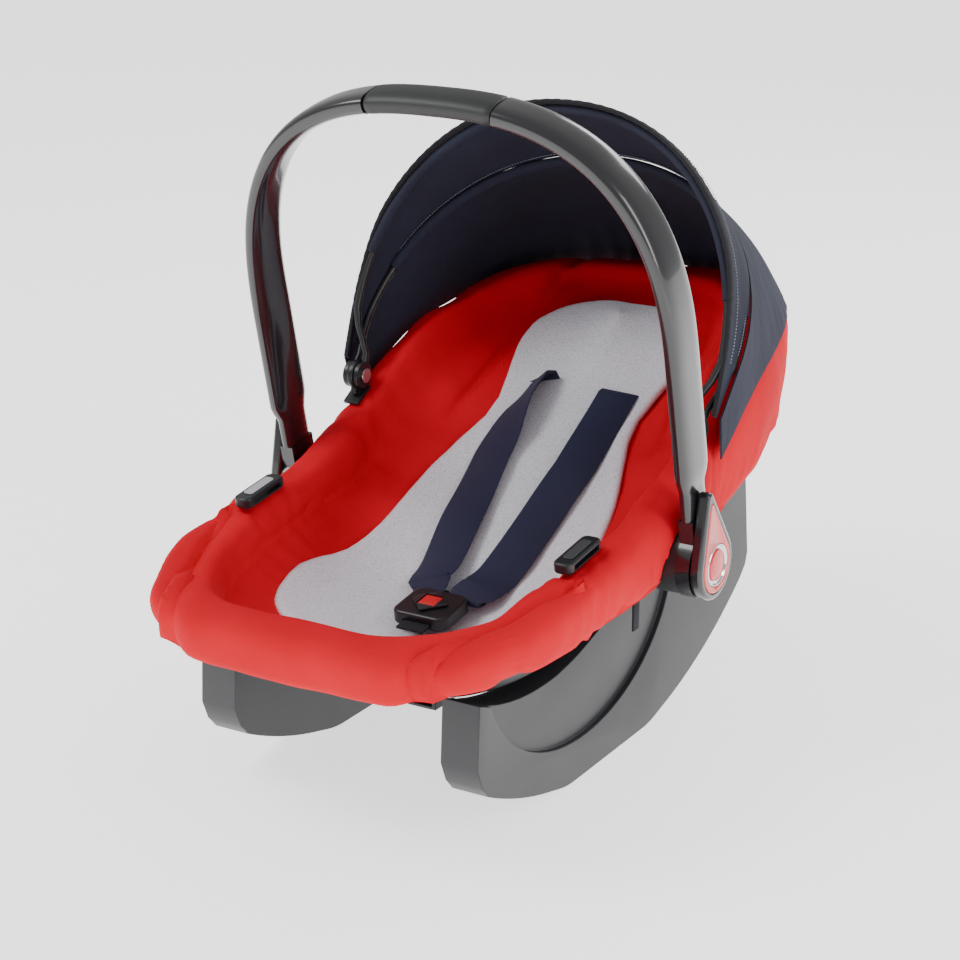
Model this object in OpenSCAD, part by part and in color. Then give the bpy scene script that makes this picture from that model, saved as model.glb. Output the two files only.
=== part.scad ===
// Rear-facing infant car seat of the carrying kind: rocker shell, padded cover, harness, canopy and handle.
// Frame: millimetres, +Z up from the surface it rocks on, +X to one side, the foot end faces -Y.

/* [Seat] */
// Length of the padded seat, foot lip to head end
seat_l = 690; // [570:5:800]
// Width over the padded cover
seat_w = 364; // [320:2:440]
// Height of the rim at the head end
head_h = 346; // [320:2:420]
// Thickness of the moulded shell wall
shell_t = 4; // [3:0.5:5]
// Thickness of the foam liner
foam_t = 12; // [8:1:15]
// Thickness of the padded cover
cover_t = 7; // [5:0.5:8]
// Thickness of the infant insert
insert_t = 5; // [3:0.5:8]

/* [Rockers] */
// Radius of the rocking curve
rocker_r = 440; // [380:10:600]
// Thickness of one runner
runner_t = 34; // [24:1:40]
// Distance from the middle to the centre of a runner
track_half = 115; // [100:1:125]
// Length of the flat that the seat stands on
rest_flat = 130; // [60:5:150]
// Depth of the recess in a runner's outer face
recess_d = 5; // [2:0.5:8]

/* [Handle] */
// Height of the handle from its pivot to the top of the grip
handle_h = 392; // [380:2:500]
// Depth of an arm, front to back
arm_d = 46; // [36:1:54]
// Thickness of an arm
arm_t = 15; // [12:1:20]
// Length of the soft grip
grip_l = 118; // [90:2:160]
// Forward lean of the handle
handle_lean = 13; // [0:1:25]
// Radius of the handle's bearing collar
collar_r = 24; // [20:0.5:27]
// Radius of the hub
hub_r = 30; // [28.5:0.5:34]
// Running clearance of the handle's bearings
run_fit = 0.06; // [0.02:0.01:0.1]
// Radius of the release button
button_r = 13.5; // [11:0.5:15]
// Travel of the release button
button_travel = 5; // [3:0.5:6]
// Radius of the lock gear over its teeth
gear_r = 19; // [17:0.5:19]

/* [Canopy] */
// Height of the canopy above its hinge
canopy_h = 262; // [220:2:268]
// Backward tilt of the front bow
front_tilt = 21; // [10:1:25]
// Backward tilt of the rear bow
rear_tilt = 42; // [38:1:50]
// Thickness of the canopy fabric
cloth_t = 1.6; // [1:0.1:2.5]
// Radius of a canopy bow
bow_r = 3.6; // [2.5:0.1:4.5]
// Radius of the hinge rivet
rivet_r = 4; // [3:0.25:5]
// Radius of the hinge discs
disc_r = 13; // [11:0.5:15]

/* [Harness] */
// Width of the shoulder straps
strap_w = 38; // [30:1:45]
// Thickness of the webbing
strap_t = 2; // [1.2:0.1:3]
// Width of the buckle
buckle_w = 52; // [44:1:62]
// Length of the buckle
buckle_l = 46; // [40:1:60]

/* [Hidden] */

gap = 0.4;                       // space left between neighbouring pieces
around = 48;                     // steps round the seat
down = 9;                        // steps from the rim to the middle of the seat

// The standard seat that the outlines below are drawn for, and how far this one is stretched from it
kx = seat_w / 364;
ky = seat_l / 690;
kz = head_h / 346;
mid_y = -40;                     // where the seat is widest, before stretching

// Rim height, hem height and the underside of the shell along the seat
rim_line = [[-345, 184], [-300, 188], [-250, 194], [-200, 203], [-140, 211], [-95, 217], [-35, 224],
            [15, 246], [80, 290], [110, 306], [160, 320], [210, 329], [260, 337], [350, 346]];
hem_line = [[-345, 136], [-310, 146], [-265, 156], [-60, 158], [0, 172], [80, 192], [130, 203], [350, 205]];
keel_line = [[-200, 88], [-150, 79], [-120, 76], [-90, 81], [-50, 104], [0, 137], [145, 234], [235, 297],
             [300, 338]];
seat_front = -150;               // the middle line starts here and ends at seat_back
seat_back = 207;

function at(p, t, i = 0) =
  let (last = i >= len(p) - 2)
  !last && t > p[i + 1][0] ? at(p, t, i + 1) :
  let (s = max(0, min(1, (t - p[i][0]) / (p[i + 1][0] - p[i][0]))))
  p[i][1] + (p[i + 1][1] - p[i][1]) * s;
function soft(p, t, w = 22) = (at(p, t - w) + 2 * at(p, t) + at(p, t + w)) / 4;
function rim(y) = kz * soft(rim_line, y);
function hem(y) = kz * soft(hem_line, y);
function keel(y) = kz * soft(keel_line, y, 18);

// A point at polar angle f on the plan outline: half-width a, reach b_f to the foot and b_r to the head
function plan(f, a, b_f, b_r) =
  let (n = sin(f) < 0 ? 4 : 3, b = sin(f) < 0 ? b_f : b_r,
       r = pow(pow(abs(cos(f)) / a, n) + pow(abs(sin(f)) / b, n), -1 / n))
  [r * cos(f), mid_y + r * sin(f)];
function ring(f, m) = plan(f, 172 - m, 290 - m, 340 - m);
function put(p, z) = [p[0] * kx, p[1] * ky, z];

// A rib runs from the rim, inset by m, down to the middle line. t goes from 0 at the rim to 90.
function spine_y(f) = let (y = ring(f, 0)[1])
  y < mid_y ? mid_y + (y - mid_y) * (mid_y - seat_front) / 290 : mid_y + (y - mid_y) * (seat_back - mid_y) / 340;
function fullness(f) = 0.85 + (sin(f) < 0 ? 0.65 : 0.3) * pow(sin(f), 4);
function rib(f, t, m, drop) =
  let (c = ring(f, m), s = [0, spine_y(f)], e = fullness(f), h = 1 - pow(cos(t), e), w = 1 - pow(sin(t), e),
       z0 = keel(s[1]) + m, z1 = rim(ring(f, 0)[1]) - drop)
  put(c + (s - c) * h, z0 + (z1 - z0) * w);
function spine(f, m) = let (y = spine_y(f)) put([0, y], keel(y) + m);

// The outside of the padded edge, from the rim (u = 0) over the bulge to the hem (u = 1), inset by m
function edge(f, u, m, drop) =
  let (c = ring(f, 10 + m), k = plan(f, 194 - m, 319 - m, 435.6 - m), l = plan(f, 178 - m, 298 - m, 340 - m),
       y = ring(f, 0)[1], zc = rim(y), zl = hem(y),
       p = (1 - u) * (1 - u) * c + 2 * u * (1 - u) * k + u * u * l)
  put(p, zc + (zl - zc) * u * u - drop * max(0, 1 - 2 * u));

// Closed bowl solid. Each column of points runs from the upper skin, round the edge, to the lower skin.
module bowl(column, top, bottom) {
  cols = [for (i = [0:around - 1]) column(-90 + 360 * i / around)];
  m = len(cols[0]);
  half = around / 2;
  tops = [for (k = [0:half]) top(-90 + 360 * k / around)];
  bottoms = [for (k = [0:half]) bottom(-90 + 360 * k / around)];
  t0 = around * m;
  b0 = t0 + half + 1;
  function side(i) = let (k = i % around) k <= half ? k : around - k;
  function v(i, j) = (i % around) * m + j;
  polyhedron(
    points = concat([for (c = cols) each c], tops, bottoms),
    faces = concat(
      [for (i = [0:around - 1], j = [0:m - 2]) each [
        [v(i, j), v(i + 1, j + 1), v(i, j + 1)], [v(i, j), v(i + 1, j), v(i + 1, j + 1)]]],
      [for (i = [0:around - 1]) each [
        [t0 + side(i), v(i + 1, 0), v(i, 0)], [t0 + side(i), t0 + side(i + 1), v(i + 1, 0)]]],
      [for (i = [0:around - 1]) each [
        [b0 + side(i), v(i, m - 1), v(i + 1, m - 1)], [b0 + side(i), v(i + 1, m - 1), b0 + side(i + 1)]]]),
    convexity = 8);
}
function ribs_up(f, m, drop, from = 0) =
  [for (j = [down:-1:0]) rib(f, from + (84 - from) * j / down, m, drop)];
function ribs_down(f, m, drop, from = 0) =
  [for (j = [0:down]) rib(f, from + (84 - from) * j / down, m, drop)];

// Tube swept along points, each with its own across and along half sizes
module sweep(pts, normals, sizes, across, n = 14, power = 2.6) {
  count = len(pts);
  polyhedron(
    points = [for (i = [0:count - 1], k = [0:n - 1]) let (c = cos(360 * k / n), s = sin(360 * k / n))
      pts[i] + normals[i] * sizes[i][0] * sign(c) * pow(abs(c), 2 / power)
             + across * sizes[i][1] * sign(s) * pow(abs(s), 2 / power)],
    faces = concat(
      [[for (k = [0:n - 1]) k]],
      [for (i = [0:count - 2], k = [0:n - 1]) let (q = (k + 1) % n) each [
        [i * n + k, (i + 1) * n + k, (i + 1) * n + q], [i * n + k, (i + 1) * n + q, i * n + q]]],
      [[for (k = [n - 1:-1:0]) (count - 1) * n + k]]),
    convexity = 6);
}
module mirrored(side) { if (side > 0) children(); else mirror([1, 0, 0]) children(); }
module along_x(x, y, z) { translate([x, y, z]) rotate([0, 90, 0]) children(); }

// ---- shell -----------------------------------------------------------------------------------
shell_drop = 13;
shell_m = 3;                     // inset of the shell's outside from the seat's outline
liner_drop = shell_drop + 1;     // the liner's edge is level with the inside of the shell's rim
flange_in = cover_t + 5 * gap;
flange_t = 3;
function shell_column(f) = concat(
  ribs_up(f, shell_m + shell_t, liner_drop),
  [for (u = [0.1:0.125:0.6]) edge(f, u, flange_in, shell_drop)],
  [for (u = [0.6:-0.2:0.2]) edge(f, u, flange_in + flange_t, shell_drop + flange_t)],
  ribs_down(f, shell_m, shell_drop + flange_t + 1.5));
// room for a handle base in the pieces that it stands through, from x outwards
module base_room(x) {
  for (s = [1, -1]) mirrored(s) along_x(x, pivot_y, pivot_z) cylinder(h = 60, r = base_r + gap, $fn = 48);
}
module shell() {
  color("#2b2c2e") difference() {
    bowl(function(f) shell_column(f), function(f) spine(f, shell_m + shell_t), function(f) spine(f, shell_m));
    base_room(base_x0 - gap);
  }
}

// ---- rockers ---------------------------------------------------------------------------------
// The bottom is an arc cut off by the flat that the seat rests on; the top follows the shell's underside.
arc_z = sqrt(rocker_r * rocker_r - rest_flat * rest_flat / 4);
rest_y = -50;                    // middle of the flat, under the seat's centre of mass
arc_y = rest_y * ky;
foot_y = -258 * ky;
heel_y = 221 * ky;
in_x = track_half - runner_t / 2;
function arc_at(y) = max(0, arc_z - sqrt(rocker_r * rocker_r - (y - arc_y) * (y - arc_y)));
function under(f) = let (c = ring(f, shell_m)[0] * kx, t = acos(min(1, pow(in_x / c, 1 / fullness(f)))))
  let (p = rib(f, t, shell_m, shell_drop + flange_t + 1.5)) [p[1], p[2] - 2 * gap];
function runner_outline() = concat(
  [[foot_y - 9, arc_at(foot_y) + 24], [foot_y - 2, arc_at(foot_y) + 7]],
  [for (y = [foot_y + 8:12:arc_y - rest_flat / 2 - 4]) [y, arc_at(y)]],
  [[arc_y - rest_flat / 2, 0], [arc_y + rest_flat / 2, 0]],
  [for (y = [arc_y + rest_flat / 2 + 10:12:heel_y - 14]) [y, arc_at(y)]],
  [[heel_y - 4, arc_at(heel_y) - 1], [heel_y, arc_at(heel_y) + 10]],
  [for (f = [62:-6:-64]) under(f)]);
function ellipse_2d(cy, cz, a, b, n = 40) =
  [for (i = [0:n - 1]) [cy + a * cos(360 * i / n), cz + b * sin(360 * i / n)]];
recess_y = -95 * ky;
recess_z = 150 * kz;
module rocker() {
  color("#26272a") difference() {
    translate([in_x, 0, 0]) rotate([90, 0, 90]) linear_extrude(runner_t) polygon(runner_outline());
    translate([in_x + runner_t - recess_d, 0, 0]) rotate([90, 0, 90])
      linear_extrude(recess_d + 1) polygon(ellipse_2d(recess_y, recess_z, 158 * ky, 114 * kz));
  }
}

// ---- foam liner ------------------------------------------------------------------------------
foam_m0 = shell_m + shell_t + 2.5 * gap;
foam_m1 = foam_m0 + foam_t;
module foam_liner() {
  color("white") bowl(
    function(f) concat(ribs_up(f, foam_m1, liner_drop), ribs_down(f, foam_m0, liner_drop)),
    function(f) spine(f, foam_m1), function(f) spine(f, foam_m0));
}

// ---- padded cover ----------------------------------------------------------------------------
cover_m0 = foam_m1 + 2.5 * gap;
cover_m1 = cover_m0 + cover_t;
pivot_y = -24 * ky;
pivot_z = 179 * kz;
base_r = hub_r - 1;
function cover_column(f) = concat(
  ribs_up(f, cover_m1, 8),
  [edge(f, 0, cover_m1 - 14, 1.6), edge(f, 0, 2, 0)],
  [for (u = [0.08:0.115:1]) edge(f, u, 0, 0)],
  [for (u = [1:-0.14:0.1]) edge(f, u, cover_t, 8)],
  ribs_down(f, cover_m0, liner_drop));
module seat_cover() {
  color("#e8192c") difference() {
    bowl(function(f) cover_column(f), function(f) spine(f, cover_m1), function(f) spine(f, cover_m0));
    base_room(158 * kx);
  }
}

// ---- infant insert ---------------------------------------------------------------------------
insert_m0 = cover_m1 + 3 * gap;
insert_m1 = insert_m0 + insert_t;
insert_edge = [[-90, 78], [-78, 70], [-66, 52], [-54, 34], [-38, 30], [-20, 42], [0, 45], [25, 50], [42, 58],
               [50, 61], [58, 50], [66, 38], [78, 50], [90, 58]];
function insert_from(f) = let (g = f > 90 ? 180 - f : f) soft(insert_edge, g, 4);
module infant_insert() {
  color("#c4c3cb") bowl(
    function(f) concat(ribs_up(f, insert_m1, 8, insert_from(f)), ribs_down(f, insert_m0, 8, insert_from(f))),
    function(f) spine(f, insert_m1), function(f) spine(f, insert_m0));
}

// ---- handle pivots ---------------------------------------------------------------------------
half_w = seat_w / 2;
base_x0 = 168 * kx;               // clear of the liner
base_x1 = half_w + 8;            // face that the handle turns against
collar_x = base_x1 + 7;
eye_x0 = base_x1 + gap;
eye_x1 = eye_x0 + 12.6;
cap_x0 = eye_x1 + 0.2;
cap_x1 = cap_x0 + 11;
panel_d = 2;                     // depth of the pocket for the coloured panel
pin_r = 4;
gear_t = 10;
gear_x1 = collar_x - 2.5;        // outer face of the gear at rest, flush with the handle's eye
gear_x0 = gear_x1 - gear_t;
pocket_x0 = gear_x0 - button_travel - 0.6;
spring_r = 8;
cup_x0 = base_x0 + 5;
stem_r = 7;
teeth = 12;
module gear_2d(r) {
  circle(r = r - 3, $fn = 48);
  for (i = [0:teeth - 1]) rotate(360 * i / teeth) translate([r - 5, -1.9]) square([5, 3.8]);
}
module gear_room_2d(r) {
  circle(r = r - 3 + 0.15, $fn = 48);
  for (i = [0:teeth - 1]) rotate(360 * i / teeth) translate([r - 5.1, -2.05]) square([5.25, 4.1]);
}
module hub_base() {
  color("#1d1d1f") along_x(0, pivot_y, pivot_z) difference() {
    union() {
      translate([0, 0, base_x0]) cylinder(h = base_x1 - base_x0, r = base_r, $fn = 64);
      translate([0, 0, base_x1]) cylinder(h = collar_x - base_x1, r = collar_r, $fn = 64);
    }
    translate([0, 0, pocket_x0]) linear_extrude(collar_x) gear_room_2d(gear_r);
    translate([0, 0, cup_x0]) cylinder(h = pocket_x0, r = spring_r + gap, $fn = 48);
    translate([0, 0, base_x0 - 1]) cylinder(h = cup_x0, r = pin_r, $fn = 32);
  }
}
module guide_pin() {
  color("silver") along_x(0, pivot_y, pivot_z)
    translate([0, 0, base_x0]) cylinder(h = gear_x1 + 2 - base_x0, r = pin_r, $fn = 32);
}
module lock_gear() {
  color("#9a9a9a") along_x(0, pivot_y, pivot_z) translate([0, 0, gear_x0]) linear_extrude(gear_t)
    difference() { gear_2d(gear_r); circle(r = pin_r + run_fit, $fn = 32); }
}
module lock_spring() {
  color("silver") along_x(0, pivot_y, pivot_z) translate([0, 0, cup_x0]) linear_extrude(gear_x0 - cup_x0)
    difference() { circle(r = spring_r, $fn = 32); circle(r = spring_r - 1.4, $fn = 32); }
}

// ---- handle ----------------------------------------------------------------------------------
arm_x = eye_x0 + arm_t / 2;
screw_w = [38];                  // heights of the cap's screws over the pivot
tip_w = 62;                      // height of the cap's tip
neck_w = 46;                     // where the arm takes over from the eye
arch_w0 = 180;
arch_n = 2.6;
arch_top = handle_h - 9;
module on_handle() { translate([0, pivot_y, pivot_z]) rotate([handle_lean, 0, 0]) children(); }
function arch(a) =
  let (c = cos(a), s = sin(a), b = arch_top - arch_w0,
       r = pow(pow(abs(c) / arm_x, arch_n) + pow(abs(s) / b, arch_n), -1 / arch_n))
  [r * c, 0, arch_w0 + r * s];
grip_a = atan(grip_l / 2 / (arch_top - arch_w0));
low_w = tip_w + 10;              // below this the arm is thin and lies under the hub cap
arm_heights = [neck_w + gap, low_w, low_w + 14, 115, 150];
function arm_line() = [for (w = arm_heights) [arm_x - (w <= low_w ? 1 : 0), 0, w]];
function flip(p) = [for (i = [len(p) - 1:-1:0]) [-p[i][0], p[i][1], p[i][2]]];
function bow_half_path() = concat(arm_line(), [for (i = [0:12]) arch((90 - grip_a - 0.3) * i / 12)],
  [for (i = [0:4]) arch(90 - grip_a * (1 - i / 4))]);
function bow_path() = let (p = bow_half_path()) concat(p, flip([for (i = [0:len(p) - 2]) p[i]]));
function unit(v) = v / norm(v);
function normals_of(p) = [for (i = [0:len(p) - 1])
  let (d = unit(p[min(i + 1, len(p) - 1)] - p[max(i - 1, 0)])) [d[2], 0, -d[0]]];
function bow_half(p) =
  let (top = max(0, (p[2] - arch_w0) / (arch_top - arch_w0)), low = p[2] <= low_w)
  abs(p[0]) <= grip_x + 0.01 ? core : [low ? 6.1 : arm_t / 2 + 1.2 * top, (low ? 34 : arm_d - 9 * top) / 2];
module handle_eye() {
  color("#151517") on_handle() difference() {
    union() {
      rotate([0, 90, 0]) translate([0, 0, eye_x0]) cylinder(h = eye_x1 - eye_x0, r = hub_r, $fn = 64);
      translate([eye_x0, -16, 0]) cube([eye_x1 - eye_x0, 32, neck_w]);
    }
    rotate([0, 90, 0]) translate([0, 0, eye_x0 - 1]) {
      cylinder(h = collar_x - eye_x0 + 1 + gap, r = collar_r + run_fit, $fn = 64);
      cylinder(h = 30, r = stem_r + 1, $fn = 48);
    }
    for (w = screw_w) rotate([0, 90, 0]) translate([-w, 0, eye_x1 - 6]) cylinder(h = 7, r = 1.6, $fn = 24);
  }
}
grip_ease = 0.5;
core = [5.5, 11];                // half sizes of the bow inside the grip
grip_x = arch(90 - grip_a)[0];
module handle_bow() {
  color("#151517") on_handle() {
    p = bow_path();
    sweep(p, normals_of(p), [for (q = p) bow_half(q)], [0, 1, 0], 14, 3);
  }
}
function grip_angles() = [for (i = [0:12]) 90 + (grip_a - 0.12) * (i / 6 - 1)];
module handle_grip() {
  color("#3a3b3d") on_handle() {
    p = [for (a = grip_angles()) arch(a)];
    n = normals_of(p);
    resize([0, 0, 0]) difference() {
      sweep(p, n, [for (q = p) [9.4, 18.6]], [0, 1, 0], 16, 2.4);
      sweep(concat([p[0] + [3, 0, -0.9]], p, [p[12] + [-3, 0, -0.9]]), concat([n[0]], n, [n[12]]),
        [for (q = [0:14]) core + [grip_ease, grip_ease]], [0, 1, 0], 14, 3);
    }
  }
}
function arc_2d(y, r, a0, a1, n) =
  [for (i = [0:n]) let (a = a0 + (a1 - a0) * i / n) [r * cos(a), y + r * sin(a)]];
module teardrop_2d(r, tip_r, d) {
  a = asin((r - tip_r) / d);
  polygon(concat(arc_2d(0, r, 180 - a, 360 + a, 44), arc_2d(d, tip_r, a, 180 - a, 12)));
}
// turns a drawing so that its Y runs up the handle and its extrusion runs out along X
module on_cap(x) { on_handle() translate([x, 0, 0]) rotate([90, 0, 90]) children(); }
ring_r = button_r + 4.5;
module hub_cap() {
  color("#101012") difference() {
    on_cap(cap_x0) linear_extrude(cap_x1 - cap_x0) teardrop_2d(hub_r, 5.5, tip_w);
    on_cap(cap_x1 - panel_d) linear_extrude(panel_d + 1) teardrop_2d(hub_r - 5, 3, tip_w - 7);
    on_cap(cap_x0 - 1) cylinder(h = 20, r = button_r + run_fit, $fn = 64);
    on_cap(cap_x0 + 4) cylinder(h = 20, r = ring_r + 0.1, $fn = 64);
  }
}
module teardrop_panel() {
  color("#e2555a") difference() {
    on_cap(cap_x1 - panel_d + 0.1) linear_extrude(panel_d + 0.4) teardrop_2d(hub_r - 5.3, 2.7, tip_w - 7);
    on_cap(cap_x0) cylinder(h = 20, r = ring_r + 0.4, $fn = 64);
  }
}
module button_ring() {
  color("#c8c8c8") on_cap(cap_x0 + 4.1) difference() {
    cylinder(h = cap_x1 - cap_x0 - 2.6, r = ring_r, $fn = 64);
    translate([0, 0, -1]) cylinder(h = 20, r = button_r + 0.2, $fn = 64);
  }
}
module release_button() {
  color("#e2222c") on_cap(0) union() {
    translate([0, 0, gear_x1 + 0.1]) difference() {
      cylinder(h = cap_x0 + button_travel - gear_x1 + 0.5, r = stem_r, $fn = 48);
      translate([0, 0, -1]) cylinder(h = button_travel + 4, r = pin_r + 0.5, $fn = 32);
    }
    translate([0, 0, cap_x0 + button_travel + 0.1]) cylinder(h = cap_x1 - cap_x0 - 3.6, r = button_r, $fn = 64);
  }
}
module hub_screw() {
  color("silver") for (w = screw_w) on_handle() rotate([0, 90, 0]) translate([-w, 0, eye_x1 - 5.5]) {
    cylinder(h = 5, r = 1.6, $fn = 24);
  }
}

// ---- canopy ----------------------------------------------------------------------------------
hinge_y = 22 * ky;
clip_rise = 23;                  // from the rim to the hinge
hinge_z = rim(22) + clip_rise;
clip_slope = atan((rim(32) - rim(12)) / (20 * ky));
lug_x0 = half_w - 17;            // fixed disc of the clip
lug_t = 5.6;
eye_t = 5;
rear_eye_x = lug_x0 + lug_t + 0.3;
front_eye_x = lug_x0 - 0.3 - eye_t;
canopy_x = half_w + 5;           // outside of the fabric
cloth_clear = 0.5;
canopy_n = 2.1;
arch_h0 = 60;
function hood(a, grow, h, n = canopy_n) =
  let (c = cos(a), s = sin(a), aw = canopy_x + grow, b = h + grow - arch_h0,
       r = pow(pow(abs(c) / aw, n) + pow(abs(s) / b, n), -1 / n))
  [r * c, arch_h0 + r * s];
// point of the hood at tilt q back from upright, hinge at the origin
function tilt(p, q) = [p[0], p[1] * sin(q), p[1] * cos(q)];
module on_hinge() { translate([0, hinge_y, hinge_z]) children(); }
module clip() {
  color("#19191b") difference() {
    union() {
      along_x(lug_x0, hinge_y, hinge_z) cylinder(h = lug_t, r = disc_r, $fn = 48);
      translate([lug_x0, hinge_y - 7, hinge_z - clip_rise + 6]) cube([lug_t, 14, clip_rise - disc_r + 4]);
      translate([lug_x0 - 5, hinge_y, hinge_z - clip_rise + 3.4]) rotate([clip_slope, 0, 0])
        translate([0, -12, 0]) cube([lug_t + 10, 24, 3]);
    }
    along_x(lug_x0 - 1, hinge_y, hinge_z) cylinder(h = lug_t + 2, r = rivet_r + run_fit, $fn = 32);
  }
}
module rivet() {
  color("silver") along_x(front_eye_x - 2.2, hinge_y, hinge_z) {
    translate([0, 0, 2]) cylinder(h = rear_eye_x + eye_t - front_eye_x + 0.4, r = rivet_r, $fn = 32);
    cylinder(h = 2, r = rivet_r + 2.5, $fn = 32);
  }
}
frame_in = cloth_t + cloth_clear + bow_r;
function bow_line(h) = [for (i = [0:28]) hood(180 * i / 28, -frame_in, h)];
function xz(p) = [for (q = p) [q[0], 0, q[1]]];
function leg(x, h0) = [[x, 0, disc_r + 6], [x + (canopy_x - frame_in - x) * 0.7, 0, h0 * 0.72]];
module bow(eye_x, h, q) {
  x = eye_x + eye_t / 2;
  r_leg = leg(x, arch_h0);
  l_leg = [for (p = [r_leg[1], r_leg[0]]) [-p[0], 0, p[2]]];
  pts = concat(r_leg, xz(bow_line(h)), l_leg);
  on_hinge() rotate([-q, 0, 0]) {
    sweep(pts, normals_of(pts), [for (p = pts) [bow_r, bow_r]], [0, 1, 0], 10, 2);
    for (s = [1, -1]) mirrored(s) difference() {
      union() {
        along_x(eye_x, 0, 0) cylinder(h = eye_t, r = disc_r - 1, $fn = 48);
        translate([eye_x, -5, 0]) cube([eye_t, 10, disc_r + 10]);
      }
      along_x(eye_x - 1, 0, 0) cylinder(h = eye_t + 2, r = rivet_r + run_fit, $fn = 32);
    }
  }
}
rear_h = canopy_h - 10;
module front_bow() { color("#19191b") bow(front_eye_x, canopy_h, front_tilt); }
module rear_bow() { color("#19191b") bow(rear_eye_x, rear_h, rear_tilt); }
// cloth on a line of points skin(s, inset), s from the front edge to the rear edge, as one closed sheet
cloth_steps = 32;
cloth_foot = 14;
module cloth(skin, thick, rows) {
  n = cloth_steps + 3;
  outer = [for (j = [0:rows]) each skin(j / rows, 0)];
  inner = [for (j = [0:rows]) each skin(j / rows, thick)];
  o = (rows + 1) * n;
  function v(j, i) = j * n + i;
  polyhedron(points = concat(outer, inner), faces = concat(
    [for (j = [0:rows - 1], i = [0:n - 2]) each [
      [v(j, i), v(j + 1, i + 1), v(j + 1, i)], [v(j, i), v(j, i + 1), v(j + 1, i + 1)],
      [o + v(j, i), o + v(j + 1, i), o + v(j + 1, i + 1)], [o + v(j, i), o + v(j + 1, i + 1), o + v(j, i + 1)]]],
    [for (i = [0:n - 2]) each [
      [v(0, i), o + v(0, i), o + v(0, i + 1)], [v(0, i), o + v(0, i + 1), v(0, i + 1)],
      [v(rows, i), o + v(rows, i + 1), o + v(rows, i)], [v(rows, i), v(rows, i + 1), o + v(rows, i + 1)]]],
    [for (j = [0:rows - 1], i = [0, n - 1]) let (a = v(j, i), b = v(j + 1, i)) each (i == 0 ?
      [[a, b, o + b], [a, o + b, o + a]] : [[a, o + b, b], [a, o + a, o + b]])]), convexity = 6);
}
// the hood's outline at tilt q, inset by g, with a foot at each end
function hood_line(g, h, q) =
  let (p = [for (i = [0:cloth_steps]) hood(180 * i / cloth_steps, -g, h)], x = p[0][0])
  [for (r = concat([[x, cloth_foot]], p, [[-x, cloth_foot]])) tilt(r, q)];
split = 0.6;                     // angle between the front and rear cloth
hem_from = 24;                   // where on the seat's outline the rear hem starts, beside the hinge
hem_off = 3;                     // from the padded edge to the outside of the hem
hem_up = 3.5;
hem_bulge = 12;
// point of the rear hem over the seat's edge at angle f, from the hinge
function hem_point(f, g) = edge(f, 0.1 + 0.25 * pow(cos(f), 2), g - hem_off, 0) + [0, -hinge_y, hem_up - g - hinge_z];
function rear_skin(s, g) =
  let (b = hood_line(g, rear_h, rear_tilt + split), m = len(b) - 1)
  [for (i = [0:m]) let (k = min(i, m - i) * 2 / m, side = i * 2 > m ? -1 : 1,
     e = hem_point(hem_from + (90 - hem_from) * k, g), q = [side * e[0], e[1], e[2]])
    b[i] * (1 - s) + q * s + [0, sin(58), cos(58)] * hem_bulge * sin(180 * s) * sin(90 * k)];
module canopy_front() {
  color("#14182b") on_hinge() cloth(
    function(s, g) hood_line(g, canopy_h + (rear_h - canopy_h) * s,
      front_tilt + 2 + (rear_tilt - split - front_tilt - 2) * s), cloth_t, 6);
}
module canopy_rear() {
  color("#14182b") on_hinge() cloth(function(s, g) rear_skin(s, g), cloth_t, 9);
}
module canopy_binding() {
  color("#10131f") on_hinge() cloth(
    function(s, g) hood_line(g, canopy_h, front_tilt - 3 + 4.6 * s), cloth_t + 0.3, 2);
}

// ---- harness ---------------------------------------------------------------------------------
buckle_y = -122;
slot_y = 139;
slot_x = 42;
function lay(x, y, lift) = [x * kx, y * ky, keel(y) + insert_m1 + 2 + lift];
module ribbon(pts, w, t) {
  n = len(pts);
  d = [for (i = [0:n - 1]) unit(pts[min(i + 1, n - 1)] - pts[max(i - 1, 0)])];
  side = [for (v = d) unit(cross([0, 0, 1], v))];
  up = [for (i = [0:n - 1]) cross(d[i], side[i])];
  polyhedron(
    points = [for (i = [0:n - 1]) each [
      pts[i] - side[i] * w / 2, pts[i] + side[i] * w / 2,
      pts[i] + side[i] * w / 2 + up[i] * t, pts[i] - side[i] * w / 2 + up[i] * t]],
    faces = concat([[0, 1, 2, 3]],
      [for (i = [0:n - 2], k = [0:3]) let (a = i * 4 + k, b = i * 4 + (k + 1) % 4) each [
        [a, a + 4, b + 4], [a, b + 4, b]]],
      [[4 * n - 1, 4 * n - 2, 4 * n - 3, 4 * n - 4]]), convexity = 4);
}
strap_lift = [[-88, 16], [-60, 12], [0, 9], [60, 7], [125, 4]];
module harness_strap() {
  color("#1a1f3a") ribbon([for (y = [-84:14:126]) let (s = (y + 84) / 210)
    lay(26 + (slot_x - 26) * min(1, s * 1.6), y, at(strap_lift, y))], strap_w, strap_t);
}
buckle_z = keel(buckle_y) + insert_m1 + 12;
buckle_tip = 8;                  // the buckle lies back with the strap
module on_buckle() { translate([0, buckle_y * ky, buckle_z]) rotate([buckle_tip, 0, 0]) children(); }
module slab(w, l, t, r) {
  linear_extrude(t) {
    square([w - 2 * r, l], center = true);
    square([w, l - 2 * r], center = true);
    for (x = [-1, 1], y = [-1, 1]) translate([x * (w / 2 - r), y * (l / 2 - r)]) circle(r = r, $fn = 32);
  }
}
button_w = 17;
module buckle_body() {
  color("#0e0e10") on_buckle() difference() {
    slab(buckle_w, buckle_l, 13, 9);
    translate([0, 0, 7]) linear_extrude(10) square(button_w + 0.5, center = true);
    for (s = [1, -1]) translate([s * 12 - 7, 8, 3]) cube([14, 30, 4]);
    translate([-14, -buckle_l / 2 - 1, 3]) cube([28, 12, 4]);
  }
}
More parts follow.
